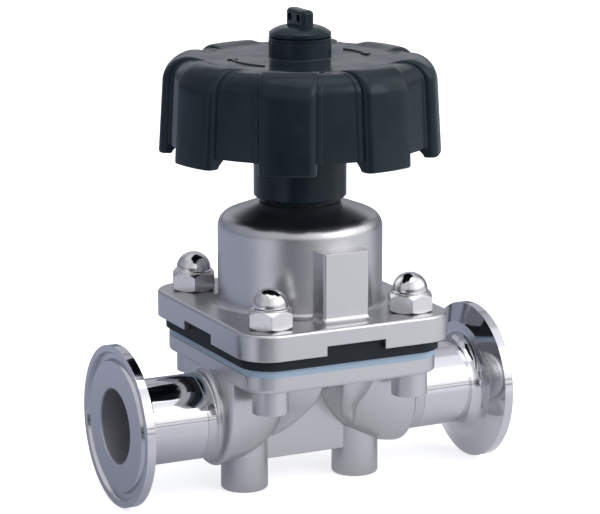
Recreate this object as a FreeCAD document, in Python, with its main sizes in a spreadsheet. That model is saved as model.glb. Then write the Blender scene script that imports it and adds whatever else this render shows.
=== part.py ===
import FreeCAD, Part
import math
import os

import Sketcher

# Hand operated weir diaphragm valve with clamp ends.
# Millimetres. +Z is up along the spindle, X runs along the pipe, the feet stand on Z = 0.

DRIVING_DIMENSIONS = {
    # shared
    "overlap": 1.0,
    "fit_clearance": 0.05,
    "edge_round": 1.2,
    # pipe and clamp ends
    "pipe_axis": 25.5,
    "face_to_face": 127.0,
    "bore_radius": 11.85,
    "tube_wall": 1.6,
    "weld_plane": 38.0,
    "ferrule_radius": 25.25,
    "ferrule_rim": 2.85,
    "ferrule_web_radius": 19.0,
    "ferrule_slope": 20.0,
    "ferrule_flare": 3.2,
    "gasket_radius": 21.75,
    "gasket_width": 2.9,
    "gasket_depth": 1.3,
    # valve body
    "seat_rise": 19.3,
    "end_round": 1.5,
    "neck_flare": 1.8,
    "bowl_centre": 33.3,
    "bowl_turn_rise": 14.8,
    "bowl_radius": 17.8,
    "bowl_drop": 16.3,
    "bowl_wall": 4.0,
    "bowl_reach": 25.0,
    "valley_radius": 30.3,
    "well_radius": 26.5,
    "well_neck": 18.0,
    "well_flare": 12.0,
    "well_round": 2.5,
    "bore_entry": 22.0,
    "weir_depth": 12.9,
    "weir_radius": 21.75,
    "saddle_wall": 2.9,
    "body_flange_long": 65.6,
    "body_flange_wide": 70.0,
    "body_flange_corner": 9.0,
    "body_flange_thick": 5.2,
    "stud_spacing_long": 48.0,
    "stud_spacing_wide": 56.0,
    "stud_boss_wall": 1.6,
    "stud_boss_drop": 7.3,
    "foot_offset": 19.6,
    "foot_radius": 7.45,
    "foot_top_radius": 7.35,
    "foot_round": 0.9,
    "web_thick": 8.0,
    "web_rise": 0.3,
    # diaphragm
    "seal_thick": 2.4,
    "backing_thick": 3.5,
    "diaphragm_long": 67.0,
    "diaphragm_wide": 73.0,
    "seal_inset": 1.0,
    "diaphragm_corner": 10.0,
    "arch_height": 2.1,
    "arch_margin": 1.5,
    "arch_crown": 8.0,
    "tab_width": 20.0,
    "tab_height": 3.0,
    "tab_depth": 4.0,
    "tab_clearance": 0.2,
    # studs and cap nuts
    "stud_radius": 4.0,
    "stud_hole_clearance": 0.5,
    "stud_grip": 11.5,
    "stud_stand": 7.4,
    "nut_flats": 13.0,
    "nut_hex_height": 5.8,
    "nut_face_inset": 0.2,
    "nut_low_chamfer": 0.75,
    "nut_high_chamfer": 1.15,
    "nut_collar_radius": 6.0,
    "nut_collar_height": 0.4,
    "nut_dome_radius": 5.5,
    "nut_height": 12.0,
    "nut_turn": 8.5,
    # bonnet
    "bonnet_long": 71.0,
    "bonnet_wide": 77.2,
    "bonnet_corner": 10.4,
    "bonnet_flange_thick": 8.3,
    "bonnet_edge_round": 1.1,
    "chamber_radius": 21.5,
    "barrel_wall": 4.3,
    "roof_thick": 2.9,
    "cone_rise": 4.8,
    "cone_land": 1.9,
    "shoulder_round": 4.8,
    "base_round": 1.8,
    "rib_wall": 5.0,
    "rib_side_wall": 3.6,
    "rib_edge_round": 0.9,
    "rib_drop": 5.8,
    "neck_wall": 2.85,
    "neck_length": 7.1,
    "neck_seal_drop": 2.8,
    "neck_seal_section": 0.65,
    "neck_seal_gap": 0.1,
    # bearing stack
    "retainer_gap": 0.3,
    "retainer_length": 7.7,
    "bush_wall": 4.0,
    "stem_seal_section": 1.1,
    "stem_seal_gap": 0.1,
    "washer_thick": 0.95,
    "washer_play": 0.6,
    "washer_bore_play": 0.2,
    "thrust_width": 4.0,
    "nut_flange_thick": 3.0,
    # spindle and what it carries
    "travel": 15.0,
    "stop_clearance": 0.3,
    "spindle_radius": 5.0,
    "spindle_step": 1.0,
    "spindle_chamfer": 0.6,
    "spindle_stand": 1.35,
    "spindle_end_play": 0.2,
    "socket_gap": 0.55,
    "compressor_radius": 15.4,
    "compressor_depth": 15.8,
    "compressor_lift": 1.4,
    "hub_radius": 8.4,
    "hub_rise": 5.0,
    "hub_slope": 1.5,
    "finger_slot_radius": 2.2,
    "finger_slot_circle": 14.4,
    "finger_count": 12,
    "tongue_width": 8.0,
    "tongue_reach": 26.4,
    "tongue_play": 0.15,
    "tongue_end_play": 0.6,
    "pin_radius": 1.5,
    "pin_rise": 1.8,
    "pin_sink": 0.6,
    "diaphragm_stud_radius": 2.5,
    "diaphragm_stud_length": 8.0,
    "stop_nut_flats": 13.0,
    "stop_nut_height": 3.6,
    "lock_nut_height": 3.2,
    # spindle nut
    "spindle_nut_wall": 3.0,
    "hex_wall": 2.0,
    "hex_lead": 0.2,
    "hex_length": 18.1,
    # handwheel
    "rim_radius": 40.7,
    "rim_draft": 1.0,
    "rim_height": 26.0,
    "rim_round": 6.3,
    "crest_rise": 0.6,
    "crest_width": 4.0,
    "grip_stand": 3.1,
    "grip_draft": 1.3,
    "grip_height": 29.3,
    "grip_round": 9.0,
    "grip_edge_round": 1.2,
    "grip_overlap": 1.1,
    "grip_width": 16.6,
    "grip_step_width": 2.2,
    "grip_step_drop": 1.5,
    "grip_step_sink": 0.45,
    "grip_count": 8,
    "grip_turn": 13.2,
    "wheel_wall": 3.2,
    "wheel_pocket_round": 4.0,
    "wheel_plate": 3.6,
    "wheel_rib": 2.4,
    "wheel_rib_depth": 6.0,
    "skirt_gap": 0.3,
    "skirt_wall": 3.2,
    "skirt_chamfer": 1.6,
    "skirt_clearance": 0.4,
    "neck_clearance": 0.6,
    "boss_wall": 1.9,
    "boss_height": 6.4,
    "stop_nut_play": 0.3,
    # top cap
    "cap_inset": 0.1,
    "cap_gap": 0.15,
    "cap_headroom": 0.45,
    "cap_chamfer": 0.35,
    "cap_edge_height": 1.3,
    "cap_dome_height": 3.4,
    "cap_dome_round": 8.2,
    "cap_dome_top_radius": 4.0,
    "cap_spigot_length": 1.7,
    "cap_seal_section": 0.5,
    "lug_length": 11.8,
    "lug_thick": 4.2,
    "lug_height": 8.45,
    "lug_round": 1.3,
    "lug_hole_radius": 1.3,
    "lug_hole_offset": 2.9,
    "lug_hole_drop": 2.6,
}

# What follows from the driving dimensions, from the floor up.
DERIVED = {
    # valve body and diaphragm
    "tube_radius": "bore_radius + tube_wall",
    "neck_radius": "tube_radius + neck_flare",
    "seat_plane": "pipe_axis + seat_rise",
    "body_flange_bottom": "seat_plane - body_flange_thick",
    "end_face": "body_flange_long / 2",
    "weir_top": "seat_plane - weir_depth",
    "weir_centre": "weir_top + weir_radius",
    "bowl_turn": "pipe_axis + bowl_turn_rise",
    "bowl_bottom": "pipe_axis - bowl_drop",
    "bore_bottom": "pipe_axis - bore_radius",
    "well_drop": "sqrt((well_radius - well_neck) * (well_radius + well_neck + 2 * well_flare))",
    "well_share": "well_radius / (well_radius + well_flare)",
    "stud_boss_radius": "stud_radius + stud_boss_wall",
    "stud_hole_radius": "stud_radius + stud_hole_clearance",
    "stud_bottom": "seat_plane - stud_grip + overlap + fit_clearance",
    "backing_bottom": "seat_plane + seal_thick",
    "bonnet_bottom": "backing_bottom + backing_thick",
    "bonnet_flange_top": "bonnet_bottom + bonnet_flange_thick",
    "arch_radius": "chamber_radius - arch_margin",
    # compressor and its guides
    "compressor_bottom": "bonnet_bottom + arch_height",
    "compressor_rim_top": "compressor_bottom + compressor_depth",
    "hub_top": "compressor_rim_top + hub_rise",
    "tongue_bottom": "bonnet_bottom + travel + stop_clearance + tongue_end_play / 2",
    "pin_height": "compressor_rim_top + pin_rise",
    "pin_length": "2 * (hub_radius - pin_sink)",
    "diaphragm_stud_bottom": "backing_bottom + arch_height + fit_clearance",
    "guide_width": "tongue_width + 2 * tongue_play",
    "guide_reach": "tongue_reach + tongue_end_play",
    "chamber_top": "hub_top + compressor_lift",
    # bearing stack
    "spindle_nut_radius": "spindle_radius + spindle_nut_wall",
    "bush_radius": "spindle_radius + bush_wall",
    "washer_outer_radius": "spindle_nut_radius + thrust_width",
    "bearing_radius": "washer_outer_radius + washer_play",
    "retainer_bottom": "chamber_top + retainer_gap",
    "retainer_top": "retainer_bottom + retainer_length",
    "stem_seal_height": "retainer_bottom + retainer_length / 2",
    "stem_seal_ring": "spindle_radius + stem_seal_section + stem_seal_gap",
    "nut_flange_bottom": "retainer_top + washer_thick + fit_clearance",
    "nut_flange_top": "nut_flange_bottom + nut_flange_thick",
    "bearing_top": "nut_flange_top + fit_clearance + washer_thick",
    # bonnet
    "barrel_radius": "chamber_radius + barrel_wall",
    "cone_top": "bearing_top + roof_thick",
    "shoulder_height": "cone_top - cone_rise",
    "rib_top": "shoulder_height - rib_drop",
    "rib_width": "guide_width + 2 * rib_side_wall",
    "rib_face": "guide_reach + rib_wall",
    "neck_top": "cone_top + neck_length",
    "neck_bore_radius": "spindle_nut_radius + fit_clearance",
    "neck_outer_radius": "neck_bore_radius + neck_wall",
    "cone_top_radius": "neck_outer_radius + cone_land",
    "neck_seal_height": "neck_top - neck_seal_drop",
    "skirt_bore_radius": "neck_outer_radius + skirt_clearance",
    "neck_seal_ring": "skirt_bore_radius - neck_seal_gap - neck_seal_section",
    # spindle nut and spindle
    "skirt_bottom": "cone_top + skirt_gap",
    "skirt_bore_top": "neck_top + neck_clearance",
    "hex_bottom": "skirt_bore_top - hex_lead",
    "hex_flats": "2 * (spindle_radius + hex_wall)",
    "spindle_nut_top": "hex_bottom + hex_length",
    "spindle_end_radius": "spindle_radius - spindle_step",
    "spindle_bottom": "diaphragm_stud_bottom + diaphragm_stud_length + socket_gap",
    "spindle_shoulder": "spindle_nut_top + travel + stop_clearance",
    "lock_nut_bottom": "spindle_shoulder + stop_nut_height + fit_clearance",
    "spindle_top": "lock_nut_bottom + lock_nut_height + spindle_stand",
    # handwheel
    "boss_top": "spindle_top + cap_headroom + cap_spigot_length - cap_gap",
    "boss_bore_radius": "stop_nut_flats / 2 / cos(30) + stop_nut_play",
    "boss_radius": "boss_bore_radius + boss_wall",
    "skirt_radius": "skirt_bore_radius + skirt_wall",
    "wheel_flat": "boss_top - boss_height",
    "wheel_crest": "wheel_flat + crest_rise",
    "rim_bottom": "wheel_flat - rim_height",
    "rim_top_radius": "rim_radius - rim_draft",
    "grip_bottom": "wheel_flat - grip_height",
    "grip_bottom_radius": "rim_radius + grip_stand",
    "grip_top_radius": "grip_bottom_radius - grip_draft",
    "grip_inner_radius": "rim_radius - grip_overlap",
    "wheel_flat_radius": "grip_top_radius - grip_round - crest_width",
    "wheel_ceiling": "wheel_flat - wheel_plate",
    "wheel_rib_bottom": "wheel_ceiling - wheel_rib_depth",
    # top cap
    "cap_bottom": "boss_top + cap_gap",
    "cap_radius": "boss_radius - cap_inset",
    "cap_spigot_radius": "boss_bore_radius - cap_gap",
    "cap_seal_ring": "cap_spigot_radius - cap_seal_section - fit_clearance",
    "cap_seal_height": "cap_bottom - cap_spigot_length / 2",
    "lug_top": "cap_bottom + lug_height",
    "lug_hole_height": "lug_top - lug_hole_drop",
}

doc = FreeCAD.newDocument("weir_diaphragm_valve")
sheet = doc.addObject("Spreadsheet::Sheet", "dims")
for row, (alias, value) in enumerate(DRIVING_DIMENSIONS.items(), start=1):
    sheet.set(f"A{row}", alias)
    sheet.set(f"B{row}", str(value))
    sheet.setAlias(f"B{row}", alias)
doc.recompute()

SUB_PARTS = {}
PLANES = {"XY": "XY_Plane", "XZ": "XZ_Plane", "YZ": "YZ_Plane"}


def cells(formula):
    """Write out derived sizes and turn the driving ones into references to the sheet."""
    words = []
    word = ""
    for char in formula + " ":
        if char.isalnum() or char == "_":
            word += char
        else:
            if word in DERIVED:
                word = f"({cells(DERIVED[word])})"
            elif word in DRIVING_DIMENSIONS:
                word = f"dims.{word}"
            words.append(word)
            words.append(char)
            word = ""
    return "".join(words).strip()


def size(formula):
    """The value of a formula, in millimetres or degrees."""
    return float(sheet.evalExpression(cells(formula)))


def bind(obj, **formulas):
    """Bind properties of an object to formulas; a double underscore stands for a dot."""
    for name, formula in formulas.items():
        obj.setExpression(name.replace("__", "."), cells(formula))
    return obj


def place(obj, x="0", y="0", z="0"):
    return bind(obj, Placement__Base__x=x, Placement__Base__y=y, Placement__Base__z=z)


def turn(obj, axis, angle):
    obj.Placement = FreeCAD.Placement(obj.Placement.Base, FreeCAD.Rotation(axis, angle))
    return obj


X_AXIS = FreeCAD.Vector(1, 0, 0)
Y_AXIS = FreeCAD.Vector(0, 1, 0)
Z_AXIS = FreeCAD.Vector(0, 0, 1)


def new_body(name):
    return doc.addObject("PartDesign::Body", name)


def new_sketch(body, plane, name, up="0", out="0"):
    """A sketch on an origin plane of its own body, moved up in the plane and out along its normal."""
    sketch = body.newObject("Sketcher::SketchObject", name)
    base = [f for f in body.Origin.OriginFeatures if f.Role == PLANES[plane]][0]
    sketch.AttachmentSupport = (base, [""])
    sketch.MapMode = "FlatFace"
    sketch.setExpression(".AttachmentOffset.Base.y", cells(up))
    sketch.setExpression(".AttachmentOffset.Base.z", cells(out))
    return sketch


def arc_between(start, end, radius, counter_clockwise):
    """The arc of a radius from start to end, the short way round."""
    middle = (start + end) * 0.5
    half = (end - start).Length / 2
    across = FreeCAD.Vector(-(end - start).y, (end - start).x, 0).normalize()
    rise = math.sqrt(max(radius * radius - half * half, 0.0))
    centre = middle + across * (rise if counter_clockwise else -rise)
    first, last = (start, end) if counter_clockwise else (end, start)
    angles = [math.atan2(p.y - centre.y, p.x - centre.x) for p in (first, last)]
    if angles[1] < angles[0]:
        angles[1] += 2 * math.pi
    return Part.ArcOfCircle(Part.Circle(centre, Z_AXIS, radius), *angles)


def draw(sketch, outline):
    """Draw a closed outline of (x, y) corners.

    An entry (x, y, radius, "left" or "right") is an arc that ends there and bends that way.
    """
    points = [FreeCAD.Vector(size(c[0]), size(c[1]), 0) for c in outline]
    ends = []
    for i, corner in enumerate(outline):
        start, end = points[i - 1], points[i]
        if len(corner) == 2:
            geo = sketch.addGeometry(Part.LineSegment(start, end), False)
            ends.append((geo, 1, 2))
        else:
            left = corner[3] == "left"
            arc = arc_between(start, end, size(corner[2]), left)
            geo = sketch.addGeometry(arc, False)
            ends.append((geo, 1, 2) if left else (geo, 2, 1))
            at = sketch.addConstraint(Sketcher.Constraint("Radius", geo, size(corner[2])))
            sketch.setExpression(f"Constraints[{at}]", cells(corner[2]))
    for i, corner in enumerate(outline):
        geo, _, last = ends[i]
        following, first, _ = ends[(i + 1) % len(outline)]
        sketch.addConstraint(Sketcher.Constraint("Coincident", geo, last, following, first))
        for kind, axis, value, formula in (
            ("DistanceX", -2, points[i].x, corner[0]),
            ("DistanceY", -1, points[i].y, corner[1]),
        ):
            if abs(value) < 1e-7:
                sketch.addConstraint(Sketcher.Constraint("PointOnObject", geo, last, axis))
                continue
            at = sketch.addConstraint(Sketcher.Constraint(kind, -1, 1, geo, last, value))
            sketch.setExpression(f"Constraints[{at}]", cells(formula))


def revolved(name, outline, plane="XZ", axis="V_Axis", up="0"):
    """A body turned from a half profile; on XZ the profile is (radius, height)."""
    body = new_body(name)
    sketch = new_sketch(body, plane, name + "_profile", up=up)
    draw(sketch, outline)
    feature = body.newObject("PartDesign::Revolution", name + "_turned")
    feature.Profile = sketch
    feature.ReferenceAxis = (sketch, [axis])
    feature.Angle = 360
    doc.recompute()
    return body


def padded(name, outline, plane, length, up="0", out="0"):
    """A body padded from an outline along the plane's normal, starting at out."""
    body = new_body(name)
    sketch = new_sketch(body, plane, name + "_outline", up=up, out=out)
    draw(sketch, outline)
    feature = body.newObject("PartDesign::Pad", name + "_pad")
    feature.Profile = sketch
    bind(feature, Length=length)
    doc.recompute()
    return body


def rounded_plate(long, wide, corner):
    """The outline of a rectangle with round corners, centred on the origin."""
    half_x, half_y = f"({long}) / 2", f"({wide}) / 2"
    return [
        (f"{half_x} - {corner}", f"-{half_y}"),
        (half_x, f"{corner} - {half_y}", corner, "left"),
        (half_x, f"{half_y} - {corner}"),
        (f"{half_x} - {corner}", half_y, corner, "left"),
        (f"{corner} - {half_x}", half_y),
        (f"-{half_x}", f"{half_y} - {corner}", corner, "left"),
        (f"-{half_x}", f"{corner} - {half_y}"),
        (f"{corner} - {half_x}", f"-{half_y}", corner, "left"),
    ]


def cylinder(name, radius, height, x="0", y="0", z="0"):
    return place(bind(doc.addObject("Part::Cylinder", name), Radius=radius, Height=height), x, y, z)


def lying_cylinder(name, radius, length, start, y="0", z="0"):
    """A cylinder along +X from start."""
    return turn(cylinder(name, radius, length, start, y, z), Y_AXIS, 90)


def box(name, length, width, height, x, y, z):
    """A box by its sizes along X, Y and Z and its lowest corner."""
    return place(bind(doc.addObject("Part::Box", name), Length=length, Width=width, Height=height), x, y, z)


def ball(name, radius, z):
    return place(bind(doc.addObject("Part::Sphere", name), Radius=radius), z=z)


def ring(name, ring_radius, section_radius, z):
    return place(bind(doc.addObject("Part::Torus", name), Radius1=ring_radius, Radius2=section_radius), z=z)


def hexagon(name, flats, height, z, x="0", y="0"):
    prism = doc.addObject("Part::Prism", name)
    prism.Polygon = 6
    bind(prism, Circumradius=f"({flats}) / 2 / cos(30)", Height=height)
    return place(prism, x, y, z)


def joined(name, pieces):
    fuse = doc.addObject("Part::MultiFuse", name)
    fuse.Shapes = pieces
    fuse.Refine = True
    doc.recompute()
    return fuse


def shared(name, pieces):
    common = doc.addObject("Part::MultiCommon", name)
    common.Shapes = pieces
    doc.recompute()
    return common


def cut(name, base, tools):
    result = doc.addObject("Part::Cut", name)
    result.Base = base
    result.Tool = tools[0] if len(tools) == 1 else joined(name + "_tools", tools)
    doc.recompute()
    return result


def mirrored(name, source, normal):
    mirror = doc.addObject("Part::Mirroring", name)
    mirror.Source = source
    mirror.Normal = normal
    doc.recompute()
    return mirror


def group(name, pieces):
    """Separate solids kept together as one sub-part."""
    compound = doc.addObject("Part::Compound", name)
    compound.Links = pieces
    doc.recompute()
    return compound


def rounded(name, base, radius, wanted):
    """Round the edges of a sub-part that a test picks."""
    doc.recompute()
    edges = [f"Edge{i}" for i, edge in enumerate(base.Shape.Edges, start=1) if wanted(edge)]
    body = new_body(name)
    body.BaseFeature = base
    doc.recompute()
    feature = body.newObject("PartDesign::Fillet", name + "_round")
    feature.Base = (body.Group[0], edges)
    bind(feature, Radius=radius)
    doc.recompute()
    return body


def keep(label, obj):
    obj.Label = label
    SUB_PARTS[label] = obj
    return obj


def near(value, target, gap=1e-3):
    return abs(value - target) < gap


def stud_places():
    """The four stud axes as formulas."""
    for x_sign in ("-", ""):
        for y_sign in ("-", ""):
            yield f"{x_sign}stud_spacing_long / 2", f"{y_sign}stud_spacing_wide / 2"


# Valve body

def bowl(name, radius, centre_height):
    """One bowl: a round-bottomed trough that turns up beside the weir, from the body's end."""
    body = new_body(name)
    sketch = new_sketch(body, "YZ", name + "_section", up="bowl_turn", out="bowl_centre")
    draw(sketch, [
        (f"-({radius})", "0"),
        (f"-({radius})", f"{centre_height} - bowl_turn"),
        ("0", f"{centre_height} - ({radius}) - bowl_turn", radius, "left"),
        (radius, f"{centre_height} - bowl_turn", radius, "left"),
        (radius, "0"),
    ])
    elbow = body.newObject("PartDesign::Revolution", name + "_elbow")
    elbow.Profile = sketch
    elbow.ReferenceAxis = (sketch, ["H_Axis"])
    elbow.Angle = 90
    doc.recompute()
    if elbow.Shape.BoundBox.XMax > size("bowl_centre + overlap"):
        elbow.Reversed = True
        doc.recompute()
    return body, sketch


def well(name):
    """The round well under the seat, kept to one side of the valley that the web stands in."""
    reach = "2 * well_radius"
    top = "body_flange_bottom + edge_round"
    turned = revolved(name + "_turned", [
        ("0", "bowl_bottom"),
        ("well_neck", "bowl_bottom"),
        ("well_neck", "seat_plane - well_drop"),
        ("well_share * (well_neck + well_flare)", "seat_plane - well_share * well_drop",
         "well_flare", "right"),
        (f"sqrt(well_radius^2 - (seat_plane - ({top}))^2)", top, "well_radius", "left"),
        ("0", top),
    ])
    side = turn(cylinder(
        name + "_side", "valley_radius", reach, "bowl_centre", f"{reach} / 2", "bowl_turn"), X_AXIS, 90)
    outer_half = box(name + "_half", "bowl_centre", reach, top, "0", f"-{reach} / 2", "0")
    blank = shared(name + "_blank", [turned, side, outer_half])

    def beside_valley(edge):
        """The edge between the well and the valley's wall."""
        bounds = edge.BoundBox
        on_side = all(
            near((vertex.X - size("bowl_centre")) ** 2 + (vertex.Z - size("bowl_turn")) ** 2,
                 size("valley_radius") ** 2, 0.1)
            for vertex in edge.Vertexes)
        return on_side and bounds.ZLength > size("overlap") and bounds.ZMin > size("bowl_bottom")

    return rounded(name, blank, "well_round", beside_valley)


def build_valve_body():
    inner_radius = "bowl_radius - bowl_wall"
    inner_centre = "bore_bottom + bowl_radius - bowl_wall"
    outer, section = bowl("bowl", "bowl_radius", "bowl_bottom + bowl_radius")
    end = outer.newObject("PartDesign::Pad", "bowl_end")
    end.Profile = section
    bind(end, Length="weld_plane - bowl_centre")
    doc.recompute()
    below_flange = box(
        "below_flange", "2 * end_face", "2 * end_face", "body_flange_bottom + edge_round",
        "-end_face", "-end_face", "0")
    trimmed = shared("bowl_trimmed", [outer, below_flange])
    end_rounded = rounded("bowl_rounded", trimmed, "end_round", lambda e: (
        near(e.BoundBox.XMin, size("end_face")) and near(e.BoundBox.XMax, size("end_face"))
        and e.BoundBox.ZMin < size("body_flange_bottom - overlap")))
    neck = revolved("end_neck", [
        ("bowl_reach", "0"),
        ("weld_plane", "0"),
        ("weld_plane", "tube_radius"),
        ("end_face + neck_flare", "tube_radius"),
        ("end_face", "neck_radius", "neck_flare", "right"),
        ("bowl_reach", "neck_radius"),
    ], axis="H_Axis", up="pipe_axis")
    half = joined("half_body", [end_rounded, well("bowl_well"), neck])
    other_half = mirrored("other_half_body", half, X_AXIS)
    saddle = shared("saddle", [
        ball("saddle_ball", "weir_radius + saddle_wall", "weir_centre"),
        below_flange,
    ])
    flange = rounded(
        "body_flange",
        padded("body_plate", rounded_plate("body_flange_long", "body_flange_wide", "body_flange_corner"),
               "XY", "body_flange_thick", out="body_flange_bottom"),
        "edge_round",
        lambda e: near(e.BoundBox.ZMax, size("body_flange_bottom")))
    solids = [half, other_half, saddle, flange]
    for index, (x, y) in enumerate(stud_places()):
        solids.append(cylinder(
            f"stud_boss_{index}", "stud_boss_radius", "stud_boss_drop + overlap", x, y,
            "body_flange_bottom - stud_boss_drop"))
    for side in ("-", ""):
        foot = revolved("foot", [
            ("0", "0"),
            ("foot_radius - foot_round", "0"),
            ("foot_radius", "foot_round", "foot_round", "left"),
            ("foot_top_radius", "bowl_drop"),
            ("foot_top_radius", "bore_bottom + foot_radius"),
            ("0", "bore_bottom + foot_radius"),
        ])
        solids.append(place(foot, f"{side}foot_offset"))
    solids.append(box(
        "web", "2 * foot_offset", "web_thick", "weir_top + overlap - (bowl_bottom + web_rise)",
        "-foot_offset", "-web_thick / 2", "bowl_bottom + web_rise"))
    casting = joined("body_casting", solids)

    trough, _ = bowl("bowl_hollow", inner_radius, inner_centre)
    inner_reach = f"bowl_centre - bowl_turn + {inner_centre}"
    mouth = padded("bowl_mouth", [
        ("bowl_centre", f"-({inner_radius})"),
        ("bowl_centre", inner_radius),
        (inner_reach, inner_radius),
        (f"{inner_reach} - ({inner_radius})", "0", inner_radius, "left"),
        (inner_reach, f"-({inner_radius})", inner_radius, "left"),
    ], "XY", "seat_plane - bowl_turn + overlap", out="bowl_turn")
    reach = cylinder("bowl_reach_limit", "bowl_reach", "seat_plane + overlap")
    hollow = shared("bowl_space", [joined("bowl_passage", [trough, mouth]), reach])
    passages = [hollow, mirrored("other_bowl_space", hollow, X_AXIS)]
    passages.append(ball("weir_ball", "weir_radius", "weir_centre"))
    for name, start in (("inlet_bore", "-weld_plane - overlap"), ("outlet_bore", "bore_entry")):
        passages.append(lying_cylinder(
            name, "bore_radius", "weld_plane + overlap - bore_entry", start, z="pipe_axis"))
    for index, (x, y) in enumerate(stud_places()):
        passages.append(cylinder(
            f"tapped_hole_{index}", "stud_radius + fit_clearance", "stud_grip", x, y,
            "seat_plane - stud_grip + overlap"))
    keep("valve_body", cut("valve_body", casting, passages))


def build_ferrules():
    half = "face_to_face / 2"
    slope = "tan(ferrule_slope)"
    web_back = f"{half} - ferrule_rim - (ferrule_radius - ferrule_web_radius) * {slope}"
    turned = revolved("ferrule_blank", [
        ("weld_plane", "bore_radius"),
        (half, "bore_radius"),
        (half, "gasket_radius - gasket_width / 2"),
        (f"{half} - gasket_depth", "gasket_radius - gasket_width / 2 + gasket_depth / 2"),
        (f"{half} - gasket_depth", "gasket_radius + gasket_width / 2 - gasket_depth / 2"),
        (half, "gasket_radius + gasket_width / 2"),
        (half, "ferrule_radius"),
        (f"{half} - ferrule_rim", "ferrule_radius"),
        (web_back, "ferrule_web_radius"),
        (web_back, "tube_radius + ferrule_flare"),
        (f"{web_back} - ferrule_flare", "tube_radius", "ferrule_flare", "right"),
        ("weld_plane", "tube_radius"),
    ], axis="H_Axis", up="pipe_axis")
    keep("outlet_ferrule", turned)
    keep("inlet_ferrule", mirrored("inlet_ferrule", turned, X_AXIS))


# Diaphragm layers

def build_diaphragms():

    def layer(name, bottom, thick, inset):
        """A flat plate whose middle is pushed up by the arch, its edge set in from the widest."""
        outline = rounded_plate(
            f"diaphragm_long - 2 * {inset}", f"diaphragm_wide - 2 * {inset}", f"(diaphragm_corner - {inset})")
        cutter_height, cutter_bottom = f"{thick} + 2 * overlap", f"{bottom} - overlap"
        arch = [
            ("arch_radius", bottom),
            ("arch_crown", f"{bottom} + arch_height"),
            ("0", f"{bottom} + arch_height"),
        ]
        plate = padded(name + "_plate", outline, "XY", thick, out=bottom)
        crown = revolved(name + "_crown", arch[::-1] + [
            ("arch_radius", f"{bottom} + {thick}"),
            ("arch_crown", f"{bottom} + {thick} + arch_height"),
            ("0", f"{bottom} + {thick} + arch_height"),
        ])
        under = revolved(name + "_under", [("0", bottom)] + arch)
        holes = [
            cylinder(f"{name}_hole_{i}", "stud_hole_radius", cutter_height, x, y, cutter_bottom)
            for i, (x, y) in enumerate(stud_places())
        ]
        return plate, crown, under, holes

    plate, crown, under, holes = layer("seal", "seat_plane", "seal_thick", "seal_inset")
    keep("ptfe_diaphragm", cut("ptfe_diaphragm", joined("seal_blank", [plate, crown]), [under] + holes))

    plate, crown, under, holes = layer("backing", "backing_bottom", "backing_thick", "0")
    tab_z = "bonnet_bottom - overlap"
    tab_height = "tab_height - tab_clearance + overlap"
    tab_width = "tab_width - 2 * tab_clearance"
    tab_start = "tab_clearance - tab_width / 2"
    tabs = []
    for side, inner in (("front", "-diaphragm_wide / 2"), ("back", "diaphragm_wide / 2 - tab_depth")):
        tabs.append(box(f"tab_{side}", tab_width, "tab_depth", tab_height, tab_start, inner, tab_z))
    for side, inner in (("left", "-diaphragm_long / 2"), ("right", "diaphragm_long / 2 - tab_depth")):
        tabs.append(box(f"tab_{side}", "tab_depth", tab_width, tab_height, inner, tab_start, tab_z))
    stud_hole = cylinder(
        "backing_stud_hole", "diaphragm_stud_radius + fit_clearance",
        "backing_thick + arch_height + 2 * overlap", z="backing_bottom - overlap")
    blank = joined("backing_blank", [plate, crown] + tabs)
    keep("backing_diaphragm", cut("backing_diaphragm", blank, [under, stud_hole] + holes))


# Bonnet

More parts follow.
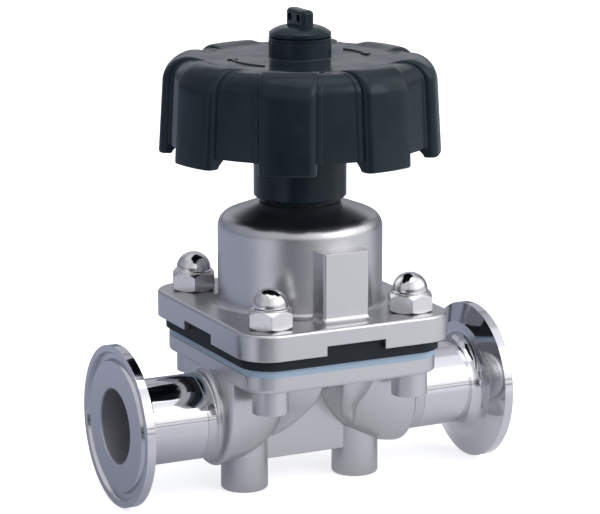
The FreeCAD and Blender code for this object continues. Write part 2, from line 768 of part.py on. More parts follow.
def build_bonnet():
    plate = rounded(
        "bonnet_flange",
        padded("bonnet_plate", rounded_plate("bonnet_long", "bonnet_wide", "bonnet_corner"),
               "XY", "bonnet_flange_thick", out="bonnet_bottom"),
        "bonnet_edge_round",
        lambda e: near(e.BoundBox.ZMin, size("bonnet_flange_top")))
    lean = "atan(cone_rise / (barrel_radius - cone_top_radius))"
    tangent = f"shoulder_round * tan((90 deg - {lean}) / 2)"
    barrel = revolved("bonnet_barrel", [
        ("0", "bonnet_bottom"),
        ("barrel_radius", "bonnet_bottom"),
        ("barrel_radius", f"shoulder_height - {tangent}"),
        (f"barrel_radius - {tangent} * cos({lean})", f"shoulder_height + {tangent} * sin({lean})",
         "shoulder_round", "left"),
        ("cone_top_radius", "cone_top"),
        ("neck_outer_radius", "cone_top"),
        ("neck_outer_radius", "neck_top"),
        ("0", "neck_top"),
    ])
    ribs = padded(
        "guide_ribs", rounded_plate("rib_width", "2 * rib_face", "rib_edge_round"), "XY",
        "rib_top - bonnet_flange_top + overlap", out="bonnet_flange_top - overlap")
    blank = joined("bonnet_blank", [plate, barrel, ribs])

    def at_base(edge):
        """The edges where the barrel and the ribs meet the flange."""
        bounds = edge.BoundBox
        top = size("bonnet_flange_top")
        inside = bounds.XMax < size("barrel_radius + overlap") and bounds.YMax < size("rib_face + overlap")
        return near(bounds.ZMin, top) and near(bounds.ZMax, top) and inside

    filleted = rounded("bonnet_rounded", blank, "base_round", at_base)

    hollow = revolved("bonnet_hollow", [
        ("0", "bonnet_bottom - overlap"),
        ("chamber_radius", "bonnet_bottom - overlap"),
        ("chamber_radius", "chamber_top"),
        ("bearing_radius", "chamber_top"),
        ("bearing_radius", "bearing_top"),
        ("neck_bore_radius", "bearing_top"),
        ("neck_bore_radius", "neck_top + overlap"),
        ("0", "neck_top + overlap"),
    ])
    guides = box(
        "guide_slots", "guide_width", "2 * guide_reach", "chamber_top - bonnet_bottom + overlap",
        "-guide_width / 2", "-guide_reach", "bonnet_bottom - overlap")
    wide = "(bonnet_wide - diaphragm_wide) / 2 + tab_depth + tab_clearance"
    long = "(bonnet_long - diaphragm_long) / 2 + tab_depth + tab_clearance"
    rise, low = "tab_height + overlap", "bonnet_bottom - overlap"
    notches = []
    for side, start in (("front", "-bonnet_wide / 2"), ("back", f"bonnet_wide / 2 - ({wide})")):
        notches.append(box(f"notch_{side}", "tab_width", wide, rise, "-tab_width / 2", start, low))
    for side, start in (("left", "-bonnet_long / 2"), ("right", f"bonnet_long / 2 - ({long})")):
        notches.append(box(f"notch_{side}", long, "tab_width", rise, start, "-tab_width / 2", low))
    holes = [
        cylinder(f"bonnet_hole_{i}", "stud_hole_radius", "bonnet_flange_thick + 2 * overlap", x, y, low)
        for i, (x, y) in enumerate(stud_places())
    ]
    seal_groove = ring(
        "neck_seal_groove", "neck_seal_ring", "neck_seal_section + fit_clearance", "neck_seal_height")
    keep("bonnet", cut("bonnet", filleted, [hollow, guides, seal_groove] + notches + holes))
    keep("neck_seal", ring("neck_seal", "neck_seal_ring", "neck_seal_section", "neck_seal_height"))


# Studs and cap nuts

def build_fasteners():
    studs = []
    nuts = []
    stud_length = "bonnet_flange_top + stud_stand - (stud_bottom)"
    for index, (x, y) in enumerate(stud_places()):
        studs.append(cylinder(f"stud_{index}", "stud_radius", stud_length, x, y, "stud_bottom"))
        prism = hexagon(f"nut_hexagon_{index}", "nut_flats", "nut_hex_height", "0")
        envelope = revolved(f"nut_envelope_{index}", [
            ("0", "0"),
            ("nut_flats / 2 - nut_face_inset", "0"),
            ("nut_flats / 2 / cos(30)", "nut_low_chamfer"),
            ("nut_flats / 2 / cos(30)", "nut_hex_height - nut_high_chamfer"),
            ("nut_flats / 2 - nut_face_inset", "nut_hex_height"),
            ("0", "nut_hex_height"),
        ])
        dome = revolved(f"nut_dome_{index}", [
            ("0", "nut_hex_height / 2"),
            ("nut_collar_radius", "nut_hex_height / 2"),
            ("nut_collar_radius", "nut_hex_height + nut_collar_height"),
            ("nut_dome_radius", "nut_height - nut_dome_radius"),
            ("0", "nut_height", "nut_dome_radius", "left"),
        ])
        solid = joined(f"nut_solid_{index}", [shared(f"nut_faces_{index}", [prism, envelope]), dome])
        bore = cylinder(
            f"nut_bore_{index}", "stud_radius + fit_clearance", "stud_stand + overlap + fit_clearance",
            z="-overlap")
        nut = cut(f"cap_nut_{index}", solid, [bore])
        turn(nut, Z_AXIS, size("nut_turn"))
        nuts.append(place(nut, x, y, "bonnet_flange_top"))
    keep("flange_studs", group("flange_studs", studs))
    keep("cap_nuts", group("cap_nuts", nuts))


# Bearing stack in the bonnet

def build_bearing():
    keep("bearing_retainer", revolved("bearing_retainer", [
        ("bush_radius + fit_clearance", "retainer_bottom"),
        ("bearing_radius - fit_clearance", "retainer_bottom"),
        ("bearing_radius - fit_clearance", "retainer_top"),
        ("bush_radius + fit_clearance", "retainer_top"),
    ]))
    inner = "spindle_radius + fit_clearance"
    groove_radius = "stem_seal_ring + stem_seal_section + fit_clearance"
    groove_half = "(stem_seal_section + fit_clearance)"
    keep("guide_bush", revolved("guide_bush", [
        (inner, "retainer_bottom"),
        ("bush_radius", "retainer_bottom"),
        ("bush_radius", "retainer_top"),
        (inner, "retainer_top"),
        (inner, f"stem_seal_height + {groove_half}"),
        (groove_radius, f"stem_seal_height + {groove_half}"),
        (groove_radius, f"stem_seal_height - {groove_half}"),
        (inner, f"stem_seal_height - {groove_half}"),
    ]))
    keep("stem_seal", ring("stem_seal", "stem_seal_ring", "stem_seal_section", "stem_seal_height"))
    inner = "spindle_nut_radius + washer_bore_play"
    for name, bottom in (
        ("lower_thrust_washer", "retainer_top"),
        ("upper_thrust_washer", "nut_flange_top + fit_clearance"),
    ):
        keep(name, revolved(name, [
            (inner, bottom),
            ("washer_outer_radius", bottom),
            ("washer_outer_radius", f"{bottom} + washer_thick"),
            (inner, f"{bottom} + washer_thick"),
        ]))


# Spindle and what it carries

def build_spindle():
    shaft = revolved("spindle_shaft", [
        ("0", "spindle_bottom"),
        ("spindle_radius", "spindle_bottom"),
        ("spindle_radius", "spindle_shoulder"),
        ("spindle_end_radius", "spindle_shoulder"),
        ("spindle_end_radius", "spindle_top - spindle_chamfer"),
        ("spindle_end_radius - spindle_chamfer", "spindle_top"),
        ("0", "spindle_top"),
    ])

    def pin_hole(name):
        radius = "pin_radius + fit_clearance / 2"
        return lying_cylinder(name, radius, "2 * barrel_radius", "-barrel_radius", z="pin_height")

    keep("spindle", cut("spindle", shaft, [pin_hole("spindle_pin_hole")]))
    keep("compressor_pin", lying_cylinder(
        "compressor_pin", "pin_radius", "pin_length", "-pin_length / 2", z="pin_height"))

    dome = "(weir_radius - seal_thick - backing_thick)"
    rim = f"compressor_bottom + {dome} - sqrt({dome}^2 - compressor_radius^2)"
    presser = revolved("presser", [
        ("0", "compressor_bottom"),
        ("compressor_radius", rim, dome, "left"),
        ("compressor_radius", "compressor_rim_top"),
        ("hub_radius", "compressor_rim_top + hub_slope"),
        ("hub_radius", "hub_top"),
        ("0", "hub_top"),
    ])
    tongues = box(
        "guide_tongues", "tongue_width", "2 * tongue_reach", "hub_top - (tongue_bottom)",
        "-tongue_width / 2", "-tongue_reach", "tongue_bottom")
    tools = [
        cylinder("compressor_bore", "spindle_radius + fit_clearance", "hub_top",
                 z="spindle_bottom - spindle_end_play"),
        cylinder("stud_socket", "diaphragm_stud_radius + fit_clearance", "spindle_bottom - seat_plane",
                 z="seat_plane"),
        pin_hole("compressor_pin_hole"),
    ]
    for index in range(int(size("finger_count"))):
        angle = f"360 * {index + 0.5} / finger_count"
        tools.append(cylinder(
            f"finger_slot_{index}", "finger_slot_radius", "tongue_bottom - overlap - seat_plane",
            f"finger_slot_circle * cos({angle})", f"finger_slot_circle * sin({angle})", "seat_plane"))
    keep("compressor", cut("compressor", joined("compressor_blank", [presser, tongues]), tools))

    keep("diaphragm_stud", cylinder(
        "diaphragm_stud", "diaphragm_stud_radius", "diaphragm_stud_length", z="diaphragm_stud_bottom"))
    for name, bottom, height in (
        ("travel_stop_nut", "spindle_shoulder", "stop_nut_height"),
        ("travel_lock_nut", "lock_nut_bottom", "lock_nut_height"),
    ):
        prism = hexagon(name + "_hexagon", "stop_nut_flats", height, bottom)
        bore = cylinder(
            name + "_bore", "spindle_end_radius + fit_clearance", f"{height} + 2 * overlap",
            z=f"{bottom} - overlap")
        keep(name, cut(name, prism, [bore]))


def build_spindle_nut():
    lower = revolved("spindle_nut_body", [
        ("0", "nut_flange_bottom"),
        ("washer_outer_radius", "nut_flange_bottom"),
        ("washer_outer_radius", "nut_flange_top"),
        ("spindle_nut_radius", "nut_flange_top"),
        ("spindle_nut_radius", "hex_bottom"),
        ("0", "hex_bottom"),
    ])
    upper = hexagon("spindle_nut_hexagon", "hex_flats", "hex_length", "hex_bottom")
    bore = cylinder(
        "spindle_nut_bore", "spindle_radius + fit_clearance",
        "spindle_nut_top - nut_flange_bottom + 2 * overlap", z="nut_flange_bottom - overlap")
    keep("spindle_nut", cut("spindle_nut", joined("spindle_nut_blank", [lower, upper]), [bore]))


# Handwheel

def spoke(name, angle, start, length, width, bottom, height):
    """A bar that starts at a radius and runs outwards at an angle round the Z axis."""
    bar = turn(box(name, length, width, height, "0", "0", "0"), Z_AXIS, size(angle))
    return place(
        bar, f"({start}) * cos({angle}) + ({width}) / 2 * sin({angle})",
        f"({start}) * sin({angle}) - ({width}) / 2 * cos({angle})", bottom)


def grip_angle(index):
    return f"(grip_turn + 360 * {index} / grip_count)"


def grips(name, width, drop, sink):
    """Straps up the rim and over its shoulder; drop and sink set them below the full grip."""
    round_radius = f"(grip_round - {sink})"
    strap = revolved(name + "_shell", [
        ("grip_inner_radius", "grip_bottom + grip_edge_round"),
        ("grip_inner_radius + grip_edge_round", "grip_bottom", "grip_edge_round", "left"),
        (f"grip_bottom_radius - {drop} - grip_edge_round", "grip_bottom"),
        (f"grip_bottom_radius - {drop}", "grip_bottom + grip_edge_round", "grip_edge_round", "left"),
        (f"grip_top_radius - {drop}", f"wheel_crest - {sink} - {round_radius}"),
        (f"grip_top_radius - {drop} - {round_radius}", f"wheel_crest - {sink}", round_radius, "left"),
        ("wheel_flat_radius", "wheel_flat"),
        ("wheel_flat_radius", "wheel_ceiling"),
        ("grip_inner_radius - wheel_pocket_round", "wheel_ceiling"),
        ("grip_inner_radius", "wheel_ceiling - wheel_pocket_round"),
    ])
    reach = "(grip_bottom_radius + overlap)"
    bars = [
        spoke(f"{name}_bar_{index}", grip_angle(index), f"-{reach}", f"2 * {reach}", width,
              "grip_bottom - overlap", "grip_height + 2 * overlap")
        for index in range(int(size("grip_count / 2")))
    ]
    return shared(name, [strap, joined(name + "_bars", bars)])


def build_handwheel():
    rim = revolved("wheel_rim", [
        ("0", "rim_bottom"),
        ("rim_radius", "rim_bottom"),
        ("rim_top_radius", "wheel_flat - rim_round"),
        ("rim_top_radius - rim_round", "wheel_flat", "rim_round", "left"),
        ("boss_radius", "wheel_flat"),
        ("boss_radius", "boss_top"),
        ("0", "boss_top"),
    ])
    full = grips("grip_faces", "grip_width", "0", "0")
    steps = grips("grip_steps", "grip_width + 2 * grip_step_width", "grip_step_drop", "grip_step_sink")
    skirt = revolved("wheel_skirt", [
        ("0", "skirt_bottom"),
        ("skirt_radius - skirt_chamfer", "skirt_bottom"),
        ("skirt_radius", "skirt_bottom + skirt_chamfer"),
        ("skirt_radius", "wheel_flat - overlap"),
        ("0", "wheel_flat - overlap"),
    ])
    pocket = revolved("wheel_pocket", [
        ("skirt_radius", "grip_bottom - overlap"),
        ("rim_radius - wheel_wall", "grip_bottom - overlap"),
        ("rim_top_radius - wheel_wall", "wheel_ceiling - wheel_pocket_round"),
        ("rim_top_radius - wheel_wall - wheel_pocket_round", "wheel_ceiling", "wheel_pocket_round", "left"),
        ("skirt_radius", "wheel_ceiling"),
    ])
    shell = cut("wheel_shell", joined("wheel_outside", [rim, full, steps]), [pocket])
    ribs = [
        spoke(f"wheel_rib_{index}", grip_angle(index), "skirt_radius - skirt_wall / 2",
              "rim_top_radius - wheel_wall / 2 - skirt_radius + skirt_wall / 2", "wheel_rib",
              "wheel_rib_bottom", "wheel_flat - overlap - (wheel_rib_bottom)")
        for index in range(int(size("grip_count")))
    ]
    hub_bore = revolved("hub_bore", [
        ("0", "skirt_bottom - overlap"),
        ("skirt_bore_radius", "skirt_bottom - overlap"),
        ("skirt_bore_radius", "skirt_bore_top"),
        ("0", "skirt_bore_top"),
    ])
    hexagon_pocket = hexagon(
        "hub_hexagon", "hex_flats + 2 * fit_clearance", "hex_length - hex_lead + fit_clearance + overlap",
        "skirt_bore_top - overlap")
    boss_bore = cylinder(
        "boss_bore", "boss_bore_radius", "boss_top - spindle_nut_top + overlap", z="spindle_nut_top")
    wheel = joined("wheel_solid", [shell, skirt] + ribs)
    keep("handwheel", cut("handwheel", wheel, [hub_bore, hexagon_pocket, boss_bore]))


# Top cap

def build_cap():
    dome = revolved("cap_dome", [
        ("0", "cap_bottom - cap_spigot_length"),
        ("cap_spigot_radius", "cap_bottom - cap_spigot_length"),
        ("cap_spigot_radius", "cap_bottom"),
        ("cap_radius - cap_chamfer", "cap_bottom"),
        ("cap_radius", "cap_bottom + cap_chamfer"),
        ("cap_radius", "cap_bottom + cap_edge_height"),
        ("cap_dome_top_radius", "cap_bottom + cap_dome_height", "cap_dome_round", "left"),
        ("0", "cap_bottom + cap_dome_height"),
    ])
    lug = box(
        "lug", "lug_thick", "lug_length", "lug_height", "-lug_thick / 2", "-lug_length / 2", "cap_bottom")

    def on_lug(edge):
        """The lug's top edges and its upright corners."""
        upright = near(abs(edge.CenterOfMass.x), size("lug_thick / 2")) and near(edge.BoundBox.XLength, 0)
        corner = upright and near(edge.BoundBox.YLength, 0)
        return near(edge.BoundBox.ZMin, size("lug_top")) or corner

    blank = rounded("cap_rounded", joined("cap_blank", [dome, lug]), "lug_round", on_lug)
    holes = [
        lying_cylinder(f"lug_hole_{side}", "lug_hole_radius", "2 * lug_thick", "-lug_thick", y,
                       "lug_hole_height")
        for side, y in (("front", "-lug_hole_offset"), ("back", "lug_hole_offset"))
    ]
    groove = ring("cap_seal_groove", "cap_seal_ring", "cap_seal_section + fit_clearance", "cap_seal_height")
    keep("top_cap", cut("top_cap", blank, holes + [groove]))
    keep("cap_seal", ring("cap_seal", "cap_seal_ring", "cap_seal_section", "cap_seal_height"))


def check_and_export():
    doc.recompute()
    failed = [o.Name for o in doc.Objects if "Invalid" in o.State or "Error" in o.State]
    if failed:
        raise RuntimeError(f"failed features: {failed}")
    for label, obj in SUB_PARTS.items():
        if obj.Shape.isNull() or not obj.Shape.isValid() or not obj.Shape.Solids:
            raise RuntimeError(f"sub-part {label} has no valid solid")
    os.makedirs("parts", exist_ok=True)
    for label, obj in SUB_PARTS.items():
        obj.Shape.exportStep(f"parts/{label}.step")
        bounds = obj.Shape.BoundBox
        print(f"{label}: {len(obj.Shape.Solids)} solid(s), {obj.Shape.Volume:.1f} mm3, "
              f"z {bounds.ZMin:.2f} to {bounds.ZMax:.2f}")


build_valve_body()
build_ferrules()
build_diaphragms()
build_bonnet()
build_fasteners()
build_bearing()
build_spindle()
build_spindle_nut()
build_handwheel()
build_cap()
check_and_export()
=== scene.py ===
import math
from contextlib import contextmanager

import bmesh
import bpy
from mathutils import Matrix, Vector


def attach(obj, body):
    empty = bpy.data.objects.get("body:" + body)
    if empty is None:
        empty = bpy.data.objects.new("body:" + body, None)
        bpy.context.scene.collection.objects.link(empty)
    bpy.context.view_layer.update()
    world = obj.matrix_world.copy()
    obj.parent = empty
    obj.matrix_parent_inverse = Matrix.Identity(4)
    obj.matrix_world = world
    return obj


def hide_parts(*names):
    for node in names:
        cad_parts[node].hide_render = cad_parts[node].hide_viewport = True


# Hand operated weir diaphragm valve with clamp ends: its finishes, moulded wheel, small details, camera and
# light. Metres. +Z is up along the spindle, X runs along the pipe, the feet stand on Z = 0.

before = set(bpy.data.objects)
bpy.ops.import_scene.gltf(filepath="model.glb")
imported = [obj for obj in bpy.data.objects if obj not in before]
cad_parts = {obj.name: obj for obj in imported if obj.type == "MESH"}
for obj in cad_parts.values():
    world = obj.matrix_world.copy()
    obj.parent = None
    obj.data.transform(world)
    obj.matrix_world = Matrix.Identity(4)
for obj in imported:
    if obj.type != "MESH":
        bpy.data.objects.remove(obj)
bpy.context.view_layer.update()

MM = 0.001
WHITE = "#ffffff"

# The photograph's viewing angle: azimuth 0 looks along +Y, elevation is above the horizon.
CAMERA_AZIMUTH = -26.483
CAMERA_ELEVATION = 13.331
CAMERA_DISTANCE = 0.85612
CAMERA_TARGET = Vector((0.0, 0.0, 0.0655))
CAMERA_LENS = 163.62
CAMERA_SENSOR = 36.0
CAMERA_RISE = 0.0359

# Softboxes aimed at the valve: azimuth, elevation, distance, width, height, brightness.
SOFTBOXES = {
    "key_front_right": (34.0, 30.0, 0.85, 0.55, 0.40, 1.6),
    "overhead": (10.0, 80.0, 0.80, 0.55, 0.55, 0.9),
    "rim_back": (158.0, 26.0, 0.60, 0.70, 0.30, 0.30),
}
SOFTBOX_AIM = Vector((0.0, 0.0, 0.07))

# The studio round the valve by azimuth: the table with the lower wall, and the tent above. On the far table
# they are painted light and shade.
TABLE_STOPS = (
    (-180, "#9498a6"), (-150, "#999dad"), (-100, "#9da1ad"), (-68, "#d4d5da"), (-44, "#5c5e65"),
    (-20, "#77787d"), (8, "#c6c6c9"), (32, "#d8d8db"), (75, "#d0d0d3"), (108, "#7c7e86"), (180, "#9498a6"),
)
TENT_STOPS = (
    (-180, "#9295a1"), (-110, "#b0b3be"), (-66, "#dcdde2"), (-40, "#dadade"), (-12, "#ececef"),
    (20, "#ffffff"), (80, "#ffffff"), (120, "#8f9199"), (180, "#9295a1"),
)
TENT_TOP = "#e2e3e8"

# Heights in the studio are the Z of a direction, 0 at the horizon and 1 overhead.
TENT_START = (0.02, 0.30)
TENT_TOP_START = (0.55, 0.9)
SEAM_HEIGHTS = (0.012, 0.125)
SEAM_EDGE = (0.009, 0.016)
SEAM_STRENGTH = 0.3

# The lit panel's strength rises from 1 to this one between two tones of the tent.
PANEL_TONES = (0.72, 1.0)
PANEL_STRENGTH = 1.6

# The table near the valve is painted with light and shade: painted shade at its far left, a painted pool of
# light
#  at its near right. Away from it the painted light and shade go by azimuth.
FLOOR_HALF = 3.0
FLOOR_DROP = 0.02 * MM
TABLE_PAINTED_SHADE_FAR_LEFT = "#8b8f9c"
TABLE_PAINTED_LIGHT_NEAR_RIGHT = "#c6c6cb"
TABLE_TO_PAINTED_LIGHT = (0.866, -0.5, 0.0)
TABLE_PAINTED_SHADE_TO_LIGHT_SPAN = (-80 * MM, 12 * MM)
TABLE_FAR_SPAN = (110 * MM, 290 * MM)
TABLE_SEEN = "#f0f0f1"
# How strongly the table glows: with its painted light and shade in reflections and bounced light, white to
# the camera.
TABLE_GLOW = 0.45
TABLE_GLOW_SEEN = 0.62

# Where the valve's finishes change.
PIPE_AXIS = 25.5 * MM
TUBE_RADIUS = 13.45 * MM
BORE_EDGE = 12.2 * MM
MOUTH_SPAN = (12.5 * MM, 13.3 * MM)
STUB_START = 34.6 * MM
FLANGE_BOTTOM = 39.8 * MM
FLANGE_TOP = 58.7 * MM
DOME_START = 65.2 * MM

# Noise keeps mostly to these values.
NOISE_LOW = 0.3
NOISE_HIGH = 0.7


def linear(hex_colour):
    """The linear colour, with alpha, of an sRGB hex value."""
    channels = [int(hex_colour[i:i + 2], 16) / 255 for i in (1, 3, 5)]
    return [c / 12.92 if c <= 0.04045 else ((c + 0.055) / 1.055) ** 2.4 for c in channels] + [1.0]


def node(tree, kind, inputs=None, **properties):
    """Add a node, set its properties, and set or link each named or numbered input. A Mix node goes by
    numbers: 0 is the share, 2 and 3 are its values or 6 and 7 its colours, and output 2 is the colour."""
    made = tree.nodes.new(kind)
    for name, value in properties.items():
        setattr(made, name, value)
    for name, value in (inputs or {}).items():
        if isinstance(value, bpy.types.NodeSocket):
            tree.links.new(value, made.inputs[name])
        else:
            made.inputs[name].default_value = value
    return made


def new_material(name):
    """An empty material with its tree and the object coordinates."""
    material = bpy.data.materials.new(name)
    material.use_nodes = True
    tree = material.node_tree
    tree.nodes.clear()
    coordinates = node(tree, "ShaderNodeTexCoord").outputs["Object"]
    return material, tree, coordinates


def finish_material(tree, shader):
    """End a material in its shader."""
    node(tree, "ShaderNodeOutputMaterial", {"Surface": shader.outputs[0]})


def direction(azimuth, elevation):
    """The unit vector from the valve towards a place in the studio."""
    a, e = math.radians(azimuth), math.radians(elevation)
    return Vector((math.sin(a) * math.cos(e), -math.cos(a) * math.cos(e), math.sin(e)))


# Camera, studio and floor

def place_facing(thing, aim, towards, distance):
    """Put a camera or lamp at a distance from the point that it faces, and link it."""
    thing.location = aim + towards * distance
    thing.rotation_euler = (-towards).to_track_quat("-Z", "Y").to_euler()
    bpy.context.scene.collection.objects.link(thing)


def add_camera():
    """The camera at the photograph's viewing angle."""
    data = bpy.data.cameras.new("photo_view")
    data.lens = CAMERA_LENS
    data.sensor_width = CAMERA_SENSOR
    data.shift_y = CAMERA_RISE
    data.clip_start = 0.01
    data.clip_end = 50.0
    camera = bpy.data.objects.new("photo_view", data)
    place_facing(camera, CAMERA_TARGET, direction(CAMERA_AZIMUTH, CAMERA_ELEVATION), CAMERA_DISTANCE)
    bpy.context.scene.camera = camera


def add_softboxes():
    """The lamps. Each one's power goes with its area, so that its brightness is as given at any size."""
    for name, (azimuth, elevation, distance, width, height, brightness) in SOFTBOXES.items():
        data = bpy.data.lights.new(name, "AREA")
        data.shape = "RECTANGLE"
        data.size = width
        data.size_y = height
        data.energy = brightness * math.pi * width * height
        data.color = linear(WHITE)[:3]
        place_facing(bpy.data.objects.new(name, data), SOFTBOX_AIM, direction(azimuth, elevation), distance)


def by_azimuth(tree, place, stops):
    """The studio's colour in the direction of a place, from a table of azimuths between -180 and 180."""
    parts = node(tree, "ShaderNodeSeparateXYZ", {0: place})
    front = node(tree, "ShaderNodeMath", {0: parts.outputs["Y"], 1: -1.0}, operation="MULTIPLY")
    angle = node(tree, "ShaderNodeMath", {0: parts.outputs["X"], 1: front.outputs[0]}, operation="ARCTAN2")
    share = node(tree, "ShaderNodeMapRange", {
        "Value": angle.outputs[0], "From Min": -math.pi, "From Max": math.pi, "To Min": 0.0, "To Max": 1.0})
    ramp = node(tree, "ShaderNodeValToRGB", {"Fac": share.outputs[0]})
    ramp.color_ramp.interpolation = "EASE"
    elements = ramp.color_ramp.elements
    for azimuth, _ in stops[1:-1]:
        elements.new((azimuth + 180) / 360)
    for element, (_, colour) in zip(elements, stops):
        element.color = linear(colour)
    return ramp.outputs["Color"]


def build_world():
    """White behind the valve; for light and reflections a pale tent, greyer to the left and behind."""
    world = bpy.data.worlds.new("studio")
    world.use_nodes = True
    tree = world.node_tree
    tree.nodes.clear()
    ray = node(tree, "ShaderNodeTexCoord").outputs["Generated"]
    height = node(tree, "ShaderNodeSeparateXYZ", {0: ray}).outputs["Z"]
    tent_colour = by_azimuth(tree, ray, TENT_STOPS)
    in_tent = node(tree, "ShaderNodeMapRange", {
        "Value": height, "From Min": TENT_START[0], "From Max": TENT_START[1]},
        interpolation_type="SMOOTHSTEP")
    walls = node(tree, "ShaderNodeMix", {
        0: in_tent.outputs[0], 6: by_azimuth(tree, ray, TABLE_STOPS), 7: tent_colour}, data_type="RGBA")
    in_top = node(tree, "ShaderNodeMapRange", {
        "Value": height, "From Min": TENT_TOP_START[0], "From Max": TENT_TOP_START[1]},
        interpolation_type="SMOOTHSTEP")
    tent = node(tree, "ShaderNodeMix", {
        0: in_top.outputs[0], 6: walls.outputs[2], 7: linear(TENT_TOP)}, data_type="RGBA")
    seen = node(tree, "ShaderNodeLightPath").outputs["Is Camera Ray"]
    colour = node(tree, "ShaderNodeMix", {0: seen, 6: tent.outputs[2], 7: linear(WHITE)}, data_type="RGBA")
    # The lit panel at the front right is brighter than white, and two seams cross it.
    panel = node(tree, "ShaderNodeMapRange", {
        "Value": tent_colour, "From Min": PANEL_TONES[0], "From Max": PANEL_TONES[1],
        "To Min": 1.0, "To Max": PANEL_STRENGTH})
    strength = panel.outputs[0]
    for seam_height in SEAM_HEIGHTS:
        off = node(tree, "ShaderNodeMath", {0: height, 1: seam_height}, operation="SUBTRACT")
        away = node(tree, "ShaderNodeMath", {0: off.outputs[0]}, operation="ABSOLUTE")
        seam = node(tree, "ShaderNodeMapRange", {
            "Value": away.outputs[0], "From Min": SEAM_EDGE[0], "From Max": SEAM_EDGE[1],
            "To Min": SEAM_STRENGTH, "To Max": 1.0})
        dimmed = node(tree, "ShaderNodeMath", {0: strength, 1: seam.outputs[0]}, operation="MULTIPLY")
        strength = dimmed.outputs[0]
    seen_strength = node(tree, "ShaderNodeMix", {0: seen, 2: strength, 3: 1.0})
    background = node(tree, "ShaderNodeBackground", {
        "Color": colour.outputs[2], "Strength": seen_strength.outputs[0]})
    node(tree, "ShaderNodeOutputWorld", {"Surface": background.outputs[0]})
    bpy.context.scene.world = world


def studio_table():
    """A pale studio table that shows white to the camera, but for the valve's shadow. To reflections and
    bounced light it shows painted light and shade, and glows with them.
    """
    material, tree, place = new_material("pale_studio_table_painted_light")
    # Painted shade at the far left turns to a painted pool of light at the near right, across the table near
    # the valve.
    across = node(tree, "ShaderNodeVectorMath", {0: place, 1: TABLE_TO_PAINTED_LIGHT}, operation="DOT_PRODUCT")
    right = node(tree, "ShaderNodeMapRange", {
        "Value": across.outputs["Value"], "From Min": TABLE_PAINTED_SHADE_TO_LIGHT_SPAN[0], "From Max": TABLE_PAINTED_SHADE_TO_LIGHT_SPAN[1]},
        interpolation_type="SMOOTHSTEP")
    near = node(tree, "ShaderNodeMix", {
        0: right.outputs[0], 6: linear(TABLE_PAINTED_SHADE_FAR_LEFT), 7: linear(TABLE_PAINTED_LIGHT_NEAR_RIGHT)}, data_type="RGBA")
    # Further out, painted light and shade go by azimuth.
    distance = node(tree, "ShaderNodeVectorMath", {0: place}, operation="LENGTH")
    far = node(tree, "ShaderNodeMapRange", {
        "Value": distance.outputs["Value"], "From Min": TABLE_FAR_SPAN[0], "From Max": TABLE_FAR_SPAN[1]},
        interpolation_type="SMOOTHSTEP")
    table = node(tree, "ShaderNodeMix", {
        0: far.outputs[0], 6: near.outputs[2], 7: by_azimuth(tree, place, TABLE_STOPS)}, data_type="RGBA")
    # The camera sees the table white. Reflections and bounced light see the painted light and shade, also as
    # glow.
    seen = node(tree, "ShaderNodeLightPath").outputs["Is Camera Ray"]
    matt_colour = node(tree, "ShaderNodeMix", {
        0: seen, 6: table.outputs[2], 7: linear(TABLE_SEEN)}, data_type="RGBA")
    glow_colour = node(tree, "ShaderNodeMix", {
        0: seen, 6: table.outputs[2], 7: linear(WHITE)}, data_type="RGBA")
    glow_strength = node(tree, "ShaderNodeMapRange", {
        "Value": seen, "From Min": 0.0, "From Max": 1.0, "To Min": TABLE_GLOW, "To Max": TABLE_GLOW_SEEN})
    matt = node(tree, "ShaderNodeBsdfDiffuse", {"Color": matt_colour.outputs[2]})
    glow = node(tree, "ShaderNodeEmission", {
        "Color": glow_colour.outputs[2], "Strength": glow_strength.outputs[0]})
    finish_material(tree, node(tree, "ShaderNodeAddShader", {0: matt.outputs[0], 1: glow.outputs[0]}))
    return material


def add_floor():
    """The studio table's top, just below the feet."""
    mesh = bpy.data.meshes.new("floor")
    corners = [(x * FLOOR_HALF, y * FLOOR_HALF, -FLOOR_DROP) for x, y in ((-1, -1), (1, -1), (1, 1), (-1, 1))]
    mesh.from_pydata(corners, [], [(0, 1, 2, 3)])
    mesh.materials.append(studio_table())
    floor = bpy.data.objects.new("floor", mesh)
    bpy.context.scene.collection.objects.link(floor)


# Finishes

